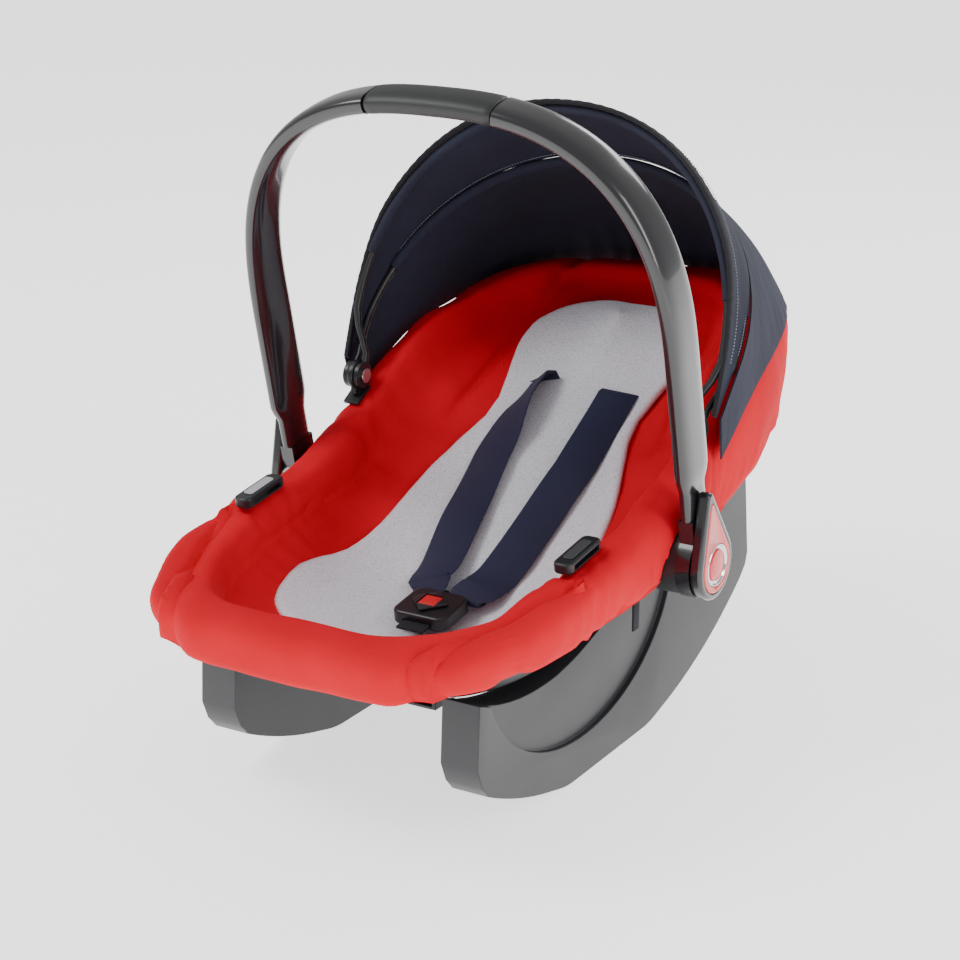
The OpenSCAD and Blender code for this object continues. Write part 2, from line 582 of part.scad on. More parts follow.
module buckle_frame() {
  color("#18181a") on_buckle() translate([0, 0, 13.1]) difference() {
    rotate(45) linear_extrude(3) square(25, center = true);
    translate([0, 0, -1]) linear_extrude(6) square(button_w + 0.5, center = true);
  }
}
module buckle_button() {
  color("#e2222c") on_buckle() translate([0, 0, 10]) linear_extrude(5.4) square(button_w, center = true);
}
module buckle_tongue() {
  color("#0e0e10") on_buckle() {
    translate([5.5, 8.5, 3.5]) cube([13, 22, 3]);
    translate([2, 24.5, 2.5]) cube([30, 10, 5]);
  }
}
module crotch_strap() {
  color("#0e0e10") on_buckle() translate([-13, -buckle_l / 2 - 12, 3.6]) cube([26, 22, 2.4]);
}
// yoke behind the back-rest, where both shoulder straps end on one adjuster strap
yoke_y = 120;
module harness_yoke() {
  color("silver") translate([0, yoke_y * ky, keel(yoke_y) - 40]) rotate([34, 0, 0]) difference() {
    slab(92, 26, 2.4, 6);
    translate([-36, 3, -1]) cube([72, 4, 5]);
    translate([-16, -8, -1]) cube([32, 4, 5]);
  }
}
adj_y = -128;
adj_z = 54 * kz;
module adjuster_strap() {
  color("#1a1f3a") ribbon([[0, (adj_y + 30) * ky, adj_z + 5],
    [0, -50 * ky, keel(-50) - 16], [0, 20 * ky, keel(20) - 20], [0, 90 * ky, keel(90) - 36]], 26, 1.8);
}
module adjuster_body() {
  color("#1d1d1f") translate([0, adj_y * ky, adj_z]) difference() {
    translate([-22, -24, 0]) cube([44, 52, 14]);
    translate([-18, -30, 3]) cube([36, 60, 7]);
    translate([-12, -15.2, -1]) cube([24, 19.4, 5]);
  }
  color("#1d1d1f") translate([-17, (adj_y - 12) * ky, adj_z + 14]) cube([4, 24, 6]);
}
module adjuster_lever() {
  color("#8a8a8a") translate([-11.5, adj_y * ky - 17.5, adj_z - 5]) {
    difference() {
      translate([0, 3, 0]) cube([23, 18, 4.6]);
      translate([3, 6, -1]) cube([17, 12, 3]);
    }
  }
}

// ---- belt guides, hem straps and tab ---------------------------------------------------------
guide_y = -150;
guide_l = 54;
guide_slope = atan((rim(guide_y + 20) - rim(guide_y - 20)) / (40 * ky));
module on_guide() {
  translate([153 * kx, guide_y * ky, rim(guide_y) + 1.5]) rotate([guide_slope, 0, 0]) children();
}
module belt_guide() {
  color("#111113") on_guide() difference() {
    translate([0, 0, 0]) slab(17, guide_l, 9.4, 6);
    translate([-20, -guide_l / 2 + 7, 2.4]) cube([40, guide_l - 14, 4.6]);
  }
}
module guide_plate() {
  color("#b9bcc0") on_guide() translate([0, 0, 9.5]) slab(9, guide_l - 20, 1, 3);
}
strap_y = -84;
module cover_strap() {
  color("#0e0e10") translate([half_w - 14, strap_y * ky, hem(strap_y) - 26 * kz]) cube([2, 9, 25 * kz]);
}
module cover_tab() {
  color("#f2d21b") translate([158 * kx, 96 * ky, rim(106) + 2.4]) cube([0.8, 10, 18]);
}

shell();
rocker();  // rocker_r
mirrored(-1) rocker();  // rocker_l
foam_liner();
seat_cover();
infant_insert();
hub_base();  // hub_base_r
mirrored(-1) hub_base();  // hub_base_l
guide_pin();  // guide_pin_r
mirrored(-1) guide_pin();  // guide_pin_l
lock_gear();  // lock_gear_r
mirrored(-1) lock_gear();  // lock_gear_l
lock_spring();  // lock_spring_r
mirrored(-1) lock_spring();  // lock_spring_l
handle_eye();  // handle_eye_r
mirrored(-1) handle_eye();  // handle_eye_l
handle_bow();
handle_grip();
hub_cap();  // hub_cap_r
mirrored(-1) hub_cap();  // hub_cap_l
teardrop_panel();  // teardrop_panel_r
mirrored(-1) teardrop_panel();  // teardrop_panel_l
button_ring();  // button_ring_r
mirrored(-1) button_ring();  // button_ring_l
release_button();  // release_button_r
mirrored(-1) release_button();  // release_button_l
union() { hub_screw(); mirrored(-1) hub_screw(); }  // hub_screws
clip();  // canopy_clip_r
mirrored(-1) clip();  // canopy_clip_l
rivet();  // hinge_rivet_r
mirrored(-1) rivet();  // hinge_rivet_l
front_bow();
rear_bow();
canopy_front();
canopy_rear();
canopy_binding();
harness_strap();  // harness_strap_r
mirrored(-1) harness_strap();  // harness_strap_l
crotch_strap();
buckle_body();
buckle_frame();
buckle_button();
buckle_tongue();  // buckle_tongue_r
mirrored(-1) buckle_tongue();  // buckle_tongue_l
harness_yoke();
adjuster_strap();
adjuster_body();
adjuster_lever();
belt_guide();  // belt_guide_r
mirrored(-1) belt_guide();  // belt_guide_l
guide_plate();  // guide_plate_r
mirrored(-1) guide_plate();  // guide_plate_l
cover_strap();  // cover_strap_r
mirrored(-1) cover_strap();  // cover_strap_l
cover_tab();
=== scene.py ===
"""Infant carrier seat: rockers, padded bucket, folding canopy and tilting handle."""

import math

import bmesh
import bpy
from mathutils import Matrix, Vector, noise


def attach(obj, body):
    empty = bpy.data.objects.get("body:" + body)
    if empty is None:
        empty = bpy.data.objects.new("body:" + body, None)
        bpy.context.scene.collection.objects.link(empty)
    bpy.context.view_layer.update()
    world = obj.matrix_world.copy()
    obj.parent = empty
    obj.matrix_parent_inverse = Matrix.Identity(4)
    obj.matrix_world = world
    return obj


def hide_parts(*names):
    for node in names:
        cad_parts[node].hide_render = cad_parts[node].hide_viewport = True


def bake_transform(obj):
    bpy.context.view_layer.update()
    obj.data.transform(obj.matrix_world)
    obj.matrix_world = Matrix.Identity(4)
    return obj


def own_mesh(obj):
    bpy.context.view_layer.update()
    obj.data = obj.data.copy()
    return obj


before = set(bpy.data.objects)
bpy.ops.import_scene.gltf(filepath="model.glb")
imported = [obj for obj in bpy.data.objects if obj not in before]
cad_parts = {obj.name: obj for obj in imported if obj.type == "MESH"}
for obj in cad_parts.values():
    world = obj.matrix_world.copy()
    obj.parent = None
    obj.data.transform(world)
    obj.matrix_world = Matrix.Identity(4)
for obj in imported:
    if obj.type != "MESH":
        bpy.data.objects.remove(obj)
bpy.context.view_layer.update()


# ---- shell: one moulded plastic bucket, dark grey, that everything else is fixed to ----
# The seat is laid out in millimetres, in plan as rings round it and in height as lines along it.
RIM = [(-345, 184), (-300, 188), (-250, 194), (-200, 203), (-140, 211), (-95, 217), (-35, 224),
       (15, 246), (80, 290), (110, 306), (160, 320), (210, 329), (260, 337), (350, 346)]
HEM = [(-345, 136), (-310, 146), (-265, 156), (-60, 158), (0, 172), (80, 192), (130, 203), (350, 205)]
KEEL = [(-200, 88), (-150, 79), (-120, 76), (-90, 81), (-50, 104), (0, 137), (145, 234), (235, 297),
        (300, 338)]
MID_Y = -40
SEAT_FRONT = -150
SEAT_BACK = 207
SHELL_IN = 3
SHELL_T = 4
SHELL_DROP = 13


def at(line, t):
    for (a, za), (b, zb) in zip(line, line[1:]):
        if t <= b:
            s = max(0.0, (t - a) / (b - a))
            return za + (zb - za) * s
    return line[-1][1]


def soft(line, t, w=22):
    return (at(line, t - w) + 2 * at(line, t) + at(line, t + w)) / 4


def rim(y):
    return soft(RIM, y)


def hem(y):
    return soft(HEM, y)


def keel(y):
    return soft(KEEL, y, 18)


def smooth(a, b, t):
    s = min(1.0, max(0.0, (t - a) / (b - a)))
    return s * s * (3 - 2 * s)


def plan(f, a, b_foot, b_head):
    """Point of the plan outline at angle f in degrees."""
    c = math.cos(math.radians(f))
    s = math.sin(math.radians(f))
    n, b = (4, b_foot) if s < 0 else (3, b_head)
    r = ((abs(c) / a) ** n + (abs(s) / b) ** n) ** (-1 / n)
    return r * c, MID_Y + r * s


def ring(f, m):
    return plan(f, 172 - m, 290 - m, 340 - m)


def spine_y(f):
    y = ring(f, 0)[1]
    if y < MID_Y:
        return MID_Y + (y - MID_Y) * (MID_Y - SEAT_FRONT) / 290
    return MID_Y + (y - MID_Y) * (SEAT_BACK - MID_Y) / 340


def fullness(f):
    s = math.sin(math.radians(f))
    return 0.85 + (0.65 if s < 0 else 0.3) * s ** 4


def rib(f, t, m, drop):
    """Point on the rib at angle f, from the rim (t = 0) to the middle line (t = 90), inset by m."""
    cx, cy = ring(f, m)
    sy = spine_y(f)
    e = fullness(f)
    h = 1 - math.cos(math.radians(t)) ** e
    w = 1 - math.sin(math.radians(t)) ** e
    z0 = keel(sy) + m
    z1 = rim(ring(f, 0)[1]) - drop
    return cx * (1 - h), cy + (sy - cy) * h, z0 + (z1 - z0) * w


def edge(f, u, m, drop):
    """Point on the outside of the edge, from the rim (u = 0) over the bulge to the hem (u = 1)."""
    c = ring(f, 10 + m)
    k = plan(f, 194 - m, 319 - m, 435.6 - m)
    q = plan(f, 178 - m, 298 - m, 340 - m)
    y = ring(f, 0)[1]
    v = 1 - u
    px = v * v * c[0] + 2 * u * v * k[0] + u * u * q[0]
    py = v * v * c[1] + 2 * u * v * k[1] + u * u * q[1]
    return px, py, rim(y) + (hem(y) - rim(y)) * u * u - drop * max(0, 1 - 2 * u)


def span(a, b, n):
    return [a + (b - a) * i / n for i in range(n + 1)]


def mesh_piece(name, points, faces, keep_sharp=None):
    """A piece from points in millimetres."""
    mesh = bpy.data.meshes.new(name)
    mesh.from_pydata([Vector(p) * 0.001 for p in points], [], faces)
    bm = bmesh.new()
    bm.from_mesh(mesh)
    bmesh.ops.recalc_face_normals(bm, faces=bm.faces)
    bm.to_mesh(mesh)
    bm.free()
    obj = bpy.data.objects.new(name, mesh)
    bpy.context.scene.collection.objects.link(obj)
    smooth_edges(obj, keep_sharp or 180)
    return obj


def pick(obj):
    bpy.ops.object.select_all(action="DESELECT")
    obj.select_set(True)
    bpy.context.view_layer.objects.active = obj


def smooth_edges(obj, degrees=35):
    pick(obj)
    bpy.ops.object.shade_smooth_by_angle(angle=math.radians(degrees))


def bowl(name, column, spine, around=216):
    """A closed bowl. column(f) lists points from the middle of one skin round the edge to the other."""
    angles = [-90 + 360 * i / around for i in range(around)]
    cols = [column(f) for f in angles]
    m = len(cols[0])
    half = around // 2
    points = [p for c in cols for p in c]
    base = len(points)
    for inset in spine:
        for i in range(half + 1):
            y = spine_y(angles[i])
            points.append((0, y, keel(y) + inset))

    def mid(side, i):
        i %= around
        return base + side * (half + 1) + (i if i <= half else around - i)

    faces = []
    for i in range(around):
        a = i * m
        b = (i + 1) % around * m
        faces += [(a + j, b + j, b + j + 1, a + j + 1) for j in range(m - 1)]
        for side, j in ((0, 0), (1, m - 1)):
            ends = (mid(side, i), mid(side, i + 1))
            faces.append((ends[0], ends[1], b + j, a + j))
    return mesh_piece(name, points, faces)


def material(name, colour, rough, metallic=0.0, coat=0.0, sheen=0.0):
    mat = bpy.data.materials.new(name)
    mat.use_nodes = True
    shader = mat.node_tree.nodes["Principled BSDF"]
    shader.inputs["Base Color"].default_value = (*colour, 1)
    shader.inputs["Roughness"].default_value = rough
    shader.inputs["Metallic"].default_value = metallic
    shader.inputs["Coat Weight"].default_value = coat
    shader.inputs["Coat Roughness"].default_value = 0.06
    shader.inputs["Sheen Weight"].default_value = sheen
    shader.inputs["Sheen Roughness"].default_value = 0.5
    return mat


def shader_of(mat):
    return mat.node_tree.nodes["Principled BSDF"]


def add_noise(mat, scale, detail=3.0, squeeze=(1, 1, 1)):
    """A noise output over the row frame."""
    tree = mat.node_tree
    where = tree.nodes.new("ShaderNodeTexCoord")
    turn = tree.nodes.new("ShaderNodeMapping")
    turn.inputs["Scale"].default_value = squeeze
    grain = tree.nodes.new("ShaderNodeTexNoise")
    grain.inputs["Scale"].default_value = scale
    grain.inputs["Detail"].default_value = detail
    tree.links.new(where.outputs["Object"], turn.inputs["Vector"])
    tree.links.new(turn.outputs["Vector"], grain.inputs["Vector"])
    return grain.outputs["Fac"]


def add_bump(mat, height, strength, distance):
    """A bump on top of whatever bump the material has already."""
    tree = mat.node_tree
    shader = shader_of(mat)
    bump = tree.nodes.new("ShaderNodeBump")
    bump.inputs["Strength"].default_value = strength
    bump.inputs["Distance"].default_value = distance
    if shader.inputs["Normal"].is_linked:
        tree.links.new(shader.inputs["Normal"].links[0].from_socket, bump.inputs["Normal"])
    tree.links.new(height, bump.inputs["Height"])
    tree.links.new(bump.outputs["Normal"], shader.inputs["Normal"])


def add_ramp(mat, fac, stops, socket="Base Color"):
    tree = mat.node_tree
    ramp = tree.nodes.new("ShaderNodeValToRGB")
    first, last = stops[0], stops[-1]
    ramp.color_ramp.elements[0].position = first[0]
    ramp.color_ramp.elements[0].color = (*first[1], 1)
    ramp.color_ramp.elements[1].position = last[0]
    ramp.color_ramp.elements[1].color = (*last[1], 1)
    for place, colour in stops[1:-1]:
        ramp.color_ramp.elements.new(place).color = (*colour, 1)
    tree.links.new(fac, ramp.inputs["Fac"])
    tree.links.new(ramp.outputs["Color"], shader_of(mat).inputs[socket])


def add_rough(mat, fac, low, high):
    tree = mat.node_tree
    fit = tree.nodes.new("ShaderNodeMapRange")
    fit.inputs["To Min"].default_value = low
    fit.inputs["To Max"].default_value = high
    tree.links.new(fac, fit.inputs["Value"])
    tree.links.new(fit.outputs["Result"], shader_of(mat).inputs["Roughness"])


def finish(obj, mat, slot, body, *nodes):
    """Material, moving body and the CAD nodes that the piece stands for; the slot argument is not used."""
    obj.data.materials.clear()
    obj.data.materials.append(mat)
    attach(obj, body)
    if nodes:
        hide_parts(*nodes)


shell_plastic = material("ShellPlastic", (0.022, 0.023, 0.026), 0.42)
add_bump(shell_plastic, add_noise(shell_plastic, 1600, 2), 0.25, 0.00015)
add_rough(shell_plastic, add_noise(shell_plastic, 14, 4), 0.34, 0.5)


def shell_column(f):
    under = SHELL_DROP + 4.5
    col = [rib(f, t, SHELL_IN + SHELL_T, SHELL_DROP + 1) for t in span(84, 0, 28)]
    col += [edge(f, u, 9, SHELL_DROP) for u in span(0.1, 0.6, 8)]
    col += [edge(f, u, 12, SHELL_DROP + 3) for u in span(0.6, 0.2, 6)]
    return col + [rib(f, t, SHELL_IN, under) for t in span(0, 84, 36)]


shell = bowl("Shell", shell_column, (SHELL_IN + SHELL_T, SHELL_IN))
smooth_edges(shell, 40)
finish(shell, shell_plastic, "shell_plastic", "root", "shell")


# ---- rockers: two moulded curved runners under the shell, of the same plastic ----
# The bottom is an arc with a short flat in the middle; each outside has a shallow recessed panel.
RUN_IN = 98
RUN_T = 34
ARC = 440
ARC_Y = -50
ARC_Z = math.sqrt(ARC ** 2 - 65 ** 2)


def arc_at(y):
    return max(0, ARC_Z - math.sqrt(ARC ** 2 - (y - ARC_Y) ** 2))


def under_shell(f):
    c = ring(f, SHELL_IN)[0]
    t = math.degrees(math.acos(min(1, (RUN_IN / c) ** (1 / fullness(f)))))
    p = rib(f, t, SHELL_IN, SHELL_DROP + 4.5)
    return p[1], p[2] - 0.8


def prism(name, outline, x0, x1):
    """An outline in (Y, Z) extruded along X."""
    n = len(outline)
    points = [(x, y, z) for x in (x0, x1) for y, z in outline]
    faces = [tuple(range(n)), tuple(range(2 * n - 1, n - 1, -1))]
    faces += [(i, (i + 1) % n, n + (i + 1) % n, n + i) for i in range(n)]
    return mesh_piece(name, points, faces, 35)


def apply(obj, kind, **values):
    pick(obj)
    mod = obj.modifiers.new(kind, kind)
    for key, value in values.items():
        setattr(mod, key, value)
    bpy.ops.object.modifier_apply(modifier=mod.name)


def bevel(obj, width, segments=3, degrees=35):
    apply(obj, "BEVEL", width=width * 0.001, segments=segments, limit_method="ANGLE",
          angle_limit=math.radians(degrees), miter_outer="MITER_ARC")
    smooth_edges(obj)


def cut(obj, tool):
    apply(obj, "BOOLEAN", object=tool, operation="DIFFERENCE", solver="EXACT")
    bpy.data.objects.remove(tool)


def copy_piece(obj, name, matrix):
    """The same piece again, with its own mesh, moved by the matrix."""
    new = obj.copy()
    new.data = obj.data.copy()
    new.name = name
    new.data.name = name
    bpy.context.scene.collection.objects.link(new)
    new.data.transform(matrix)
    if matrix.determinant() < 0:
        new.data.flip_normals()
    return new


MIRROR = Matrix.Scale(-1, 4, (1, 0, 0))


def bottom_at(y):
    """The arc, eased into the flat."""
    return arc_at(y) * smooth(42, 100, abs(y - ARC_Y))


outline = [(-267, arc_at(-258) + 24), (-260, arc_at(-258) + 7)]
outline += [(y, bottom_at(y)) for y in span(-250, -95, 40)]
outline += [(y, bottom_at(y)) for y in span(-5, 207, 50)]
outline += [(217, arc_at(221) - 1), (221, arc_at(221) + 10)]
outline += [under_shell(f) for f in span(62, -64, 42)]
rocker = prism("RockerR", outline, RUN_IN, RUN_IN + RUN_T)
disc = [(-95 + 158 * math.cos(math.radians(a)), 150 + 114 * math.sin(math.radians(a)))
        for a in range(0, 360, 3)]
cut(rocker, prism("Recess", disc, RUN_IN + RUN_T - 5, RUN_IN + RUN_T + 5))
bevel(rocker, 2.2, 3)
rocker_l = copy_piece(rocker, "RockerL", MIRROR)
finish(rocker, shell_plastic, "shell_plastic", "root", "rocker_r")
finish(rocker_l, shell_plastic, "shell_plastic", "root", "rocker_l")


# ---- foam liner: white bead foam between shell and cover, held by the cover ----
# It shows nowhere with the cover on.
foam = material("Foam", (0.85, 0.85, 0.84), 0.8)
add_bump(foam, add_noise(foam, 420, 2), 0.5, 0.0006)
liner = bowl("FoamLiner", lambda f: [rib(f, t, 20, 14) for t in span(84, 0, 20)]
             + [rib(f, t, 8, 14) for t in span(0, 84, 20)], (20, 8), 96)
finish(liner, foam, "foam", "root", "foam_liner")


# ---- seat cover: red stretch fabric over wadding, pulled over the rim and hooked under it ----
# Seams cut the front lip from the side bolsters and run down both sides of the head panel.
COVER_OUT = 21
COVER_IN = 28
HUB_Y = -24
HUB_Z = 179
HUB_R = 29.4
HUB_BACK = 0.1625

cover_red = material("CoverRed", (0.66, 0.002, 0.012), 0.78)
shader_of(cover_red).inputs["Specular IOR Level"].default_value = 0.12
add_ramp(cover_red, add_noise(cover_red, 9, 3), [(0.3, (0.60, 0.0015, 0.012)), (0.7, (0.72, 0.003, 0.018))])
add_bump(cover_red, add_noise(cover_red, 2600, 1), 0.35, 0.0002)
add_bump(cover_red, add_noise(cover_red, 26, 2), 0.35, 0.004)


def chaikin(line, times=2):
    for _ in range(times):
        new = [line[0]]
        for a, b in zip(line, line[1:]):
            new.append(tuple(p * 0.75 + q * 0.25 for p, q in zip(a, b)))
            new.append(tuple(p * 0.25 + q * 0.75 for p, q in zip(a, b)))
        line = new + [line[-1]]
    return line


def cover_column(f):
    top = [rib(f, t, COVER_IN, 8) for t in span(84, 6, 20)]
    top += [edge(f, 0, 14, 1.6), edge(f, 0, 2, 0)]
    top += [edge(f, u, 0, 0) for u in span(0.1, 0.94, 8)]
    hook = [edge(f, 1.0, 2.5, 0), edge(f, 0.97, 6, 2), edge(f, 0.85, 7, 8)]
    back = [edge(f, u, 7, 8) for u in span(0.7, 0.1, 5)]
    low = [rib(f, t, COVER_OUT, 14) for t in span(0, 84, 10)]
    return chaikin(top + hook, 2) + back + low


def swell(d, width, height):
    return height * math.exp(-(d / width) ** 2)


def valley(d, width, depth):
    return -swell(d, width, depth)


def side_angle(p):
    """Angle round the seat, folded onto the right half: -90 foot, 0 side, 90 head."""
    return math.degrees(math.atan2(p.y * 1000 - MID_Y, abs(p.x) * 1000))


def seam_distances(p):
    """Distances in millimetres to the corner seam, the side seam and the head seam, or 99 off them."""
    x, y, z = abs(p.x) * 1000, p.y * 1000, p.z * 1000
    corner = x - (126 + 0.34 * (y + 300)) if y < -175 else 99
    side = rim(y) - z - 34 if -285 < y < 10 and x < 162 and z > keel(y) + 20 else 99
    head = x - (96 - 0.12 * (y - 150)) if y > 60 and z > 200 else 99
    return corner, side, head


def cover_relief(p, _):
    """Height of the padding above its plain form, in millimetres."""
    x, y = abs(p.x) * 1000, p.y * 1000
    z = p.z * 1000
    f = side_angle(p)
    corner, side, head = seam_distances(p)
    h = valley(corner, 4.5, 6.0) + valley(corner, 16, 2.5) + swell(abs(corner) - 22, 12, 2.5)
    h += (valley(side, 6, 4.0) + swell(side + 20, 12, 3.0)) * smooth(-292, -262, y) * smooth(20, -30, y)
    h += (valley(head, 4.0, 4.5) + swell(abs(head) - 14, 9, 1.5)) * smooth(60, 110, y) * smooth(345, 320, y)
    # pulled folds beside the belt guides and the clips
    for cy, reach in ((-150, 58), (22, 52)):
        d = (y - cy) / reach
        if abs(d) < 1 and x > 95:
            h += 1.8 * math.sin(y * 0.27 + x * 0.17) * (1 - d * d) ** 2 * smooth(95, 130, x) * (0.35 + abs(d))
    # gathers under the head end and under the hem
    if y > 180:
        h += 2.0 * math.sin(f * 1.9 + 0.8 * math.sin(f * 0.43)) * smooth(180, 280, y) * smooth(335, 240, z)
    low = hem(y)
    hem_band = smooth(low + 6, low + 18, z) * smooth(low + 40, low + 20, z) * smooth(150, 168, x)
    h += 0.9 * math.sin(f * 1.3 + 1.7 * math.sin(f * 0.19)) * hem_band
    # soft pulls across the inside of the bolsters
    pull = noise.noise(Vector((p.x * 7, p.y * 16 + p.z * 9, p.z * 5)))
    h += 5.5 * (pull - 0.05) * smooth(50, 100, x)
    h += 2.4 * noise.noise(p * 24 + Vector((3, 1, 7)))
    return h


def puff(obj, pressure, cap, held):
    """Cloth simulation of the filled piece; held(p) is 1 where it is sewn or backed.

    No point moves more than cap millimetres.
    """
    mesh = obj.data
    start = [v.co.copy() for v in mesh.vertices]
    group = obj.vertex_groups.new(name="Held")
    for i, p in enumerate(start):
        weight = held(p)
        if weight > 0.01:
            group.add([i], weight, "REPLACE")
    mod = obj.modifiers.new("Cloth", "CLOTH")
    mod.settings.quality = 4
    mod.settings.mass = 0.3
    mod.settings.tension_stiffness = 12
    mod.settings.compression_stiffness = 12
    mod.settings.shear_stiffness = 5
    mod.settings.bending_stiffness = 0.6
    mod.settings.use_pressure = True
    mod.settings.uniform_pressure_force = pressure
    mod.settings.effector_weights.gravity = 0
    mod.settings.vertex_group_mass = "Held"
    mod.collision_settings.use_collision = False
    scene = bpy.context.scene
    for step in range(1, 21):
        scene.frame_set(step)
    shaped = obj.evaluated_get(bpy.context.evaluated_depsgraph_get()).data
    moved = [v.co.copy() for v in shaped.vertices]
    obj.modifiers.remove(mod)
    obj.vertex_groups.clear()
    scene.frame_set(1)
    for v, a, b in zip(mesh.vertices, start, moved):
        d = b - a
        if d.length > cap * 0.001:
            d *= cap * 0.001 / d.length
        v.co = a + d
    mesh.update()


def relief(obj, height, limit):
    """Moves each point along its normal; limit(p) says how far the piece may move there, 0 to 1."""
    mesh = obj.data
    normals = [v.normal.copy() for v in mesh.vertices]
    for v, n in zip(mesh.vertices, normals):
        v.co += n * height(v.co, n) * 0.001 * limit(v.co, n)
    mesh.update()


cover = bowl("SeatCover", cover_column, (COVER_IN, COVER_OUT), 288)
relief(cover, cover_relief,
       lambda p, n: 1.0 if n.z > -0.2 or abs(p.x) > 0.165 or abs(p.y + 0.02) > 0.26 else 0.0)


def cover_held(p):
    x, y, z = abs(p.x) * 1000, p.y * 1000, p.z * 1000
    corner, side, head = seam_distances(p)
    sewn = max(math.exp(-(corner / 6) ** 2), math.exp(-(side / 6) ** 2), math.exp(-(head / 6) ** 2))
    low = smooth(hem(y) + 10, hem(y), z) if x > 150 or abs(y) > 290 else 0
    hub = math.exp(-(((y - HUB_Y) / 34) ** 2 + ((z - HUB_Z) / 34) ** 2)) if x > 150 else 0
    return min(1, max(sewn, low, hub, 0.25))


puff(cover, 3.0, 4.0, cover_held)
# the hub bases stand through the cover: it is drawn in behind each of them, tight round its rim
for v in cover.data.vertices:
    y, z = v.co.y * 1000 - HUB_Y, v.co.z * 1000 - HUB_Z
    far = math.hypot(y, z)
    if abs(v.co.x) < 0.150 or far > 33.5:
        continue
    r = 29.3 if far < HUB_R and far > 25 else far
    if far < HUB_R:
        v.co.x = math.copysign(HUB_BACK + (abs(v.co.x) - 0.165) * 0.06, v.co.x)
    else:
        r = 29.8 + (far - HUB_R) * 0.25
    v.co.y = (y * r / max(far, 0.01) + HUB_Y) / 1000
    v.co.z = (z * r / max(far, 0.01) + HUB_Z) / 1000
smooth_edges(cover, 60)
finish(cover, cover_red, "cover_fabric", "root", "seat_cover")


# ---- infant insert: thin speckled terry pad, cut to a body outline, lying loose on the cover ----
INSERT_EDGE = [(-90, 78), (-78, 70), (-66, 52), (-54, 34), (-38, 30), (-20, 42), (0, 45), (25, 50), (42, 58),
               (50, 61), (58, 50), (66, 38), (78, 50), (90, 58)]
INSERT_OUT = 29.2
INSERT_IN = 35.0

terry = material("InsertTerry", (0.58, 0.575, 0.63), 0.95, sheen=0.2)
add_ramp(terry, add_noise(terry, 700, 4),
         [(0.3, (0.50, 0.50, 0.56)), (0.45, (0.74, 0.735, 0.80)), (0.72, (0.86, 0.85, 0.91))])
add_bump(terry, add_noise(terry, 900, 3), 0.6, 0.0009)
add_bump(terry, add_noise(terry, 34, 2), 0.3, 0.004)


def insert_from(f):
    return soft(INSERT_EDGE, 180 - f if f > 90 else f, 5)


def insert_column(f):
    t0 = insert_from(f)
    col = [rib(f, t, INSERT_IN, 8) for t in span(84, t0 + 2.5, 22)]
    col += [rib(f, t0 + 0.9, INSERT_IN - 0.7, 8), rib(f, t0, INSERT_IN - 2.6, 8)]
    return col + [rib(f, t, INSERT_OUT, 8) for t in span(t0 + 0.6, 84, 16)]


insert = bowl("InfantInsert", insert_column, (INSERT_IN, INSERT_OUT), 216)
puff(insert, 2.0, 1.6, lambda p: 0.2 if p.z * 1000 > keel(p.y * 1000) + 31 else 1.0)
relief(insert, lambda p, n: 1.1 * noise.noise(p * 24) + 0.5 * noise.noise(p * 70),
       lambda p, n: 1 if n.z > 0.1 else 0)
finish(insert, terry, "insert_fabric", "root", "infant_insert")


# ---- handle pivots: black bases fixed in the shell's sides, each with pin, gear and spring ----
# The handle's eye turns on the base's collar. All but the rim of the base is hidden.
satin_black = material("SatinBlack", (0.011, 0.011, 0.013), 0.36)
add_bump(satin_black, add_noise(satin_black, 1500, 2), 0.2, 0.0001)
steel = material("Steel", (0.58, 0.58, 0.58), 0.3, metallic=1.0)
add_rough(steel, add_noise(steel, 180, 3), 0.22, 0.42)
gear_plastic = material("GearPlastic", (0.32, 0.32, 0.33), 0.5)
add_bump(gear_plastic, add_noise(gear_plastic, 1500, 2), 0.2, 0.0001)


def hard_node(node, mat, width=0.0):
    """A hidden or plain hard piece that keeps its CAD form, with its edges rounded when a width is given."""
    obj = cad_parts[node]
    weld = obj.modifiers.new("Weld", "WELD")
    weld.merge_threshold = 0.00002
    if width:
        mod = obj.modifiers.new("Bevel", "BEVEL")
        mod.width = width * 0.001
        mod.segments = 2
        mod.limit_method = "ANGLE"
        mod.angle_limit = math.radians(40)
    obj.data.materials.clear()
    obj.data.materials.append(mat)


for side in ("r", "l"):
    hard_node("hub_base_" + side, satin_black)
    hard_node("guide_pin_" + side, steel)
    hard_node("lock_gear_" + side, gear_plastic)


def coil(name, x0, x1, r, wire, turns):
    """A round-wire spring about the X axis."""
    n = 12
    steps = turns * 24
    points = []
    for i in range(steps + 1):
        t = 2 * math.pi * i / 24
        radial = Vector((0, math.cos(t), math.sin(t)))
        rise = (x1 - x0) / steps * 24 / (2 * math.pi)
        along = Vector((rise, -r * math.sin(t), r * math.cos(t))).normalized()
        third = along.cross(radial)
        mid = radial * r + Vector((x0 + (x1 - x0) * i / steps, 0, 0))
        for k in range(n):
            q = 2 * math.pi * k / n
            points.append(mid + (radial * math.cos(q) + third * math.sin(q)) * wire)
    faces = [(i * n + k, i * n + (k + 1) % n, (i + 1) * n + (k + 1) % n, (i + 1) * n + k)
             for i in range(steps) for k in range(n)]
    faces += [tuple(range(n)), tuple(range(steps * n, steps * n + n))]
    return mesh_piece(name, points, faces, 60)


spring = coil("LockSpringR", 173.8, 183.4, 7.2, 0.7, 4)
spring.data.transform(Matrix.Translation((0, -0.024, 0.179)))
springs = {"r": spring, "l": copy_piece(spring, "LockSpringL", MIRROR)}
for side, sign in (("r", 1), ("l", -1)):
    springs[side].data.materials.append(steel)
    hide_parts("lock_spring_" + side)
    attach(springs[side], "root")
    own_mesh(springs[side])


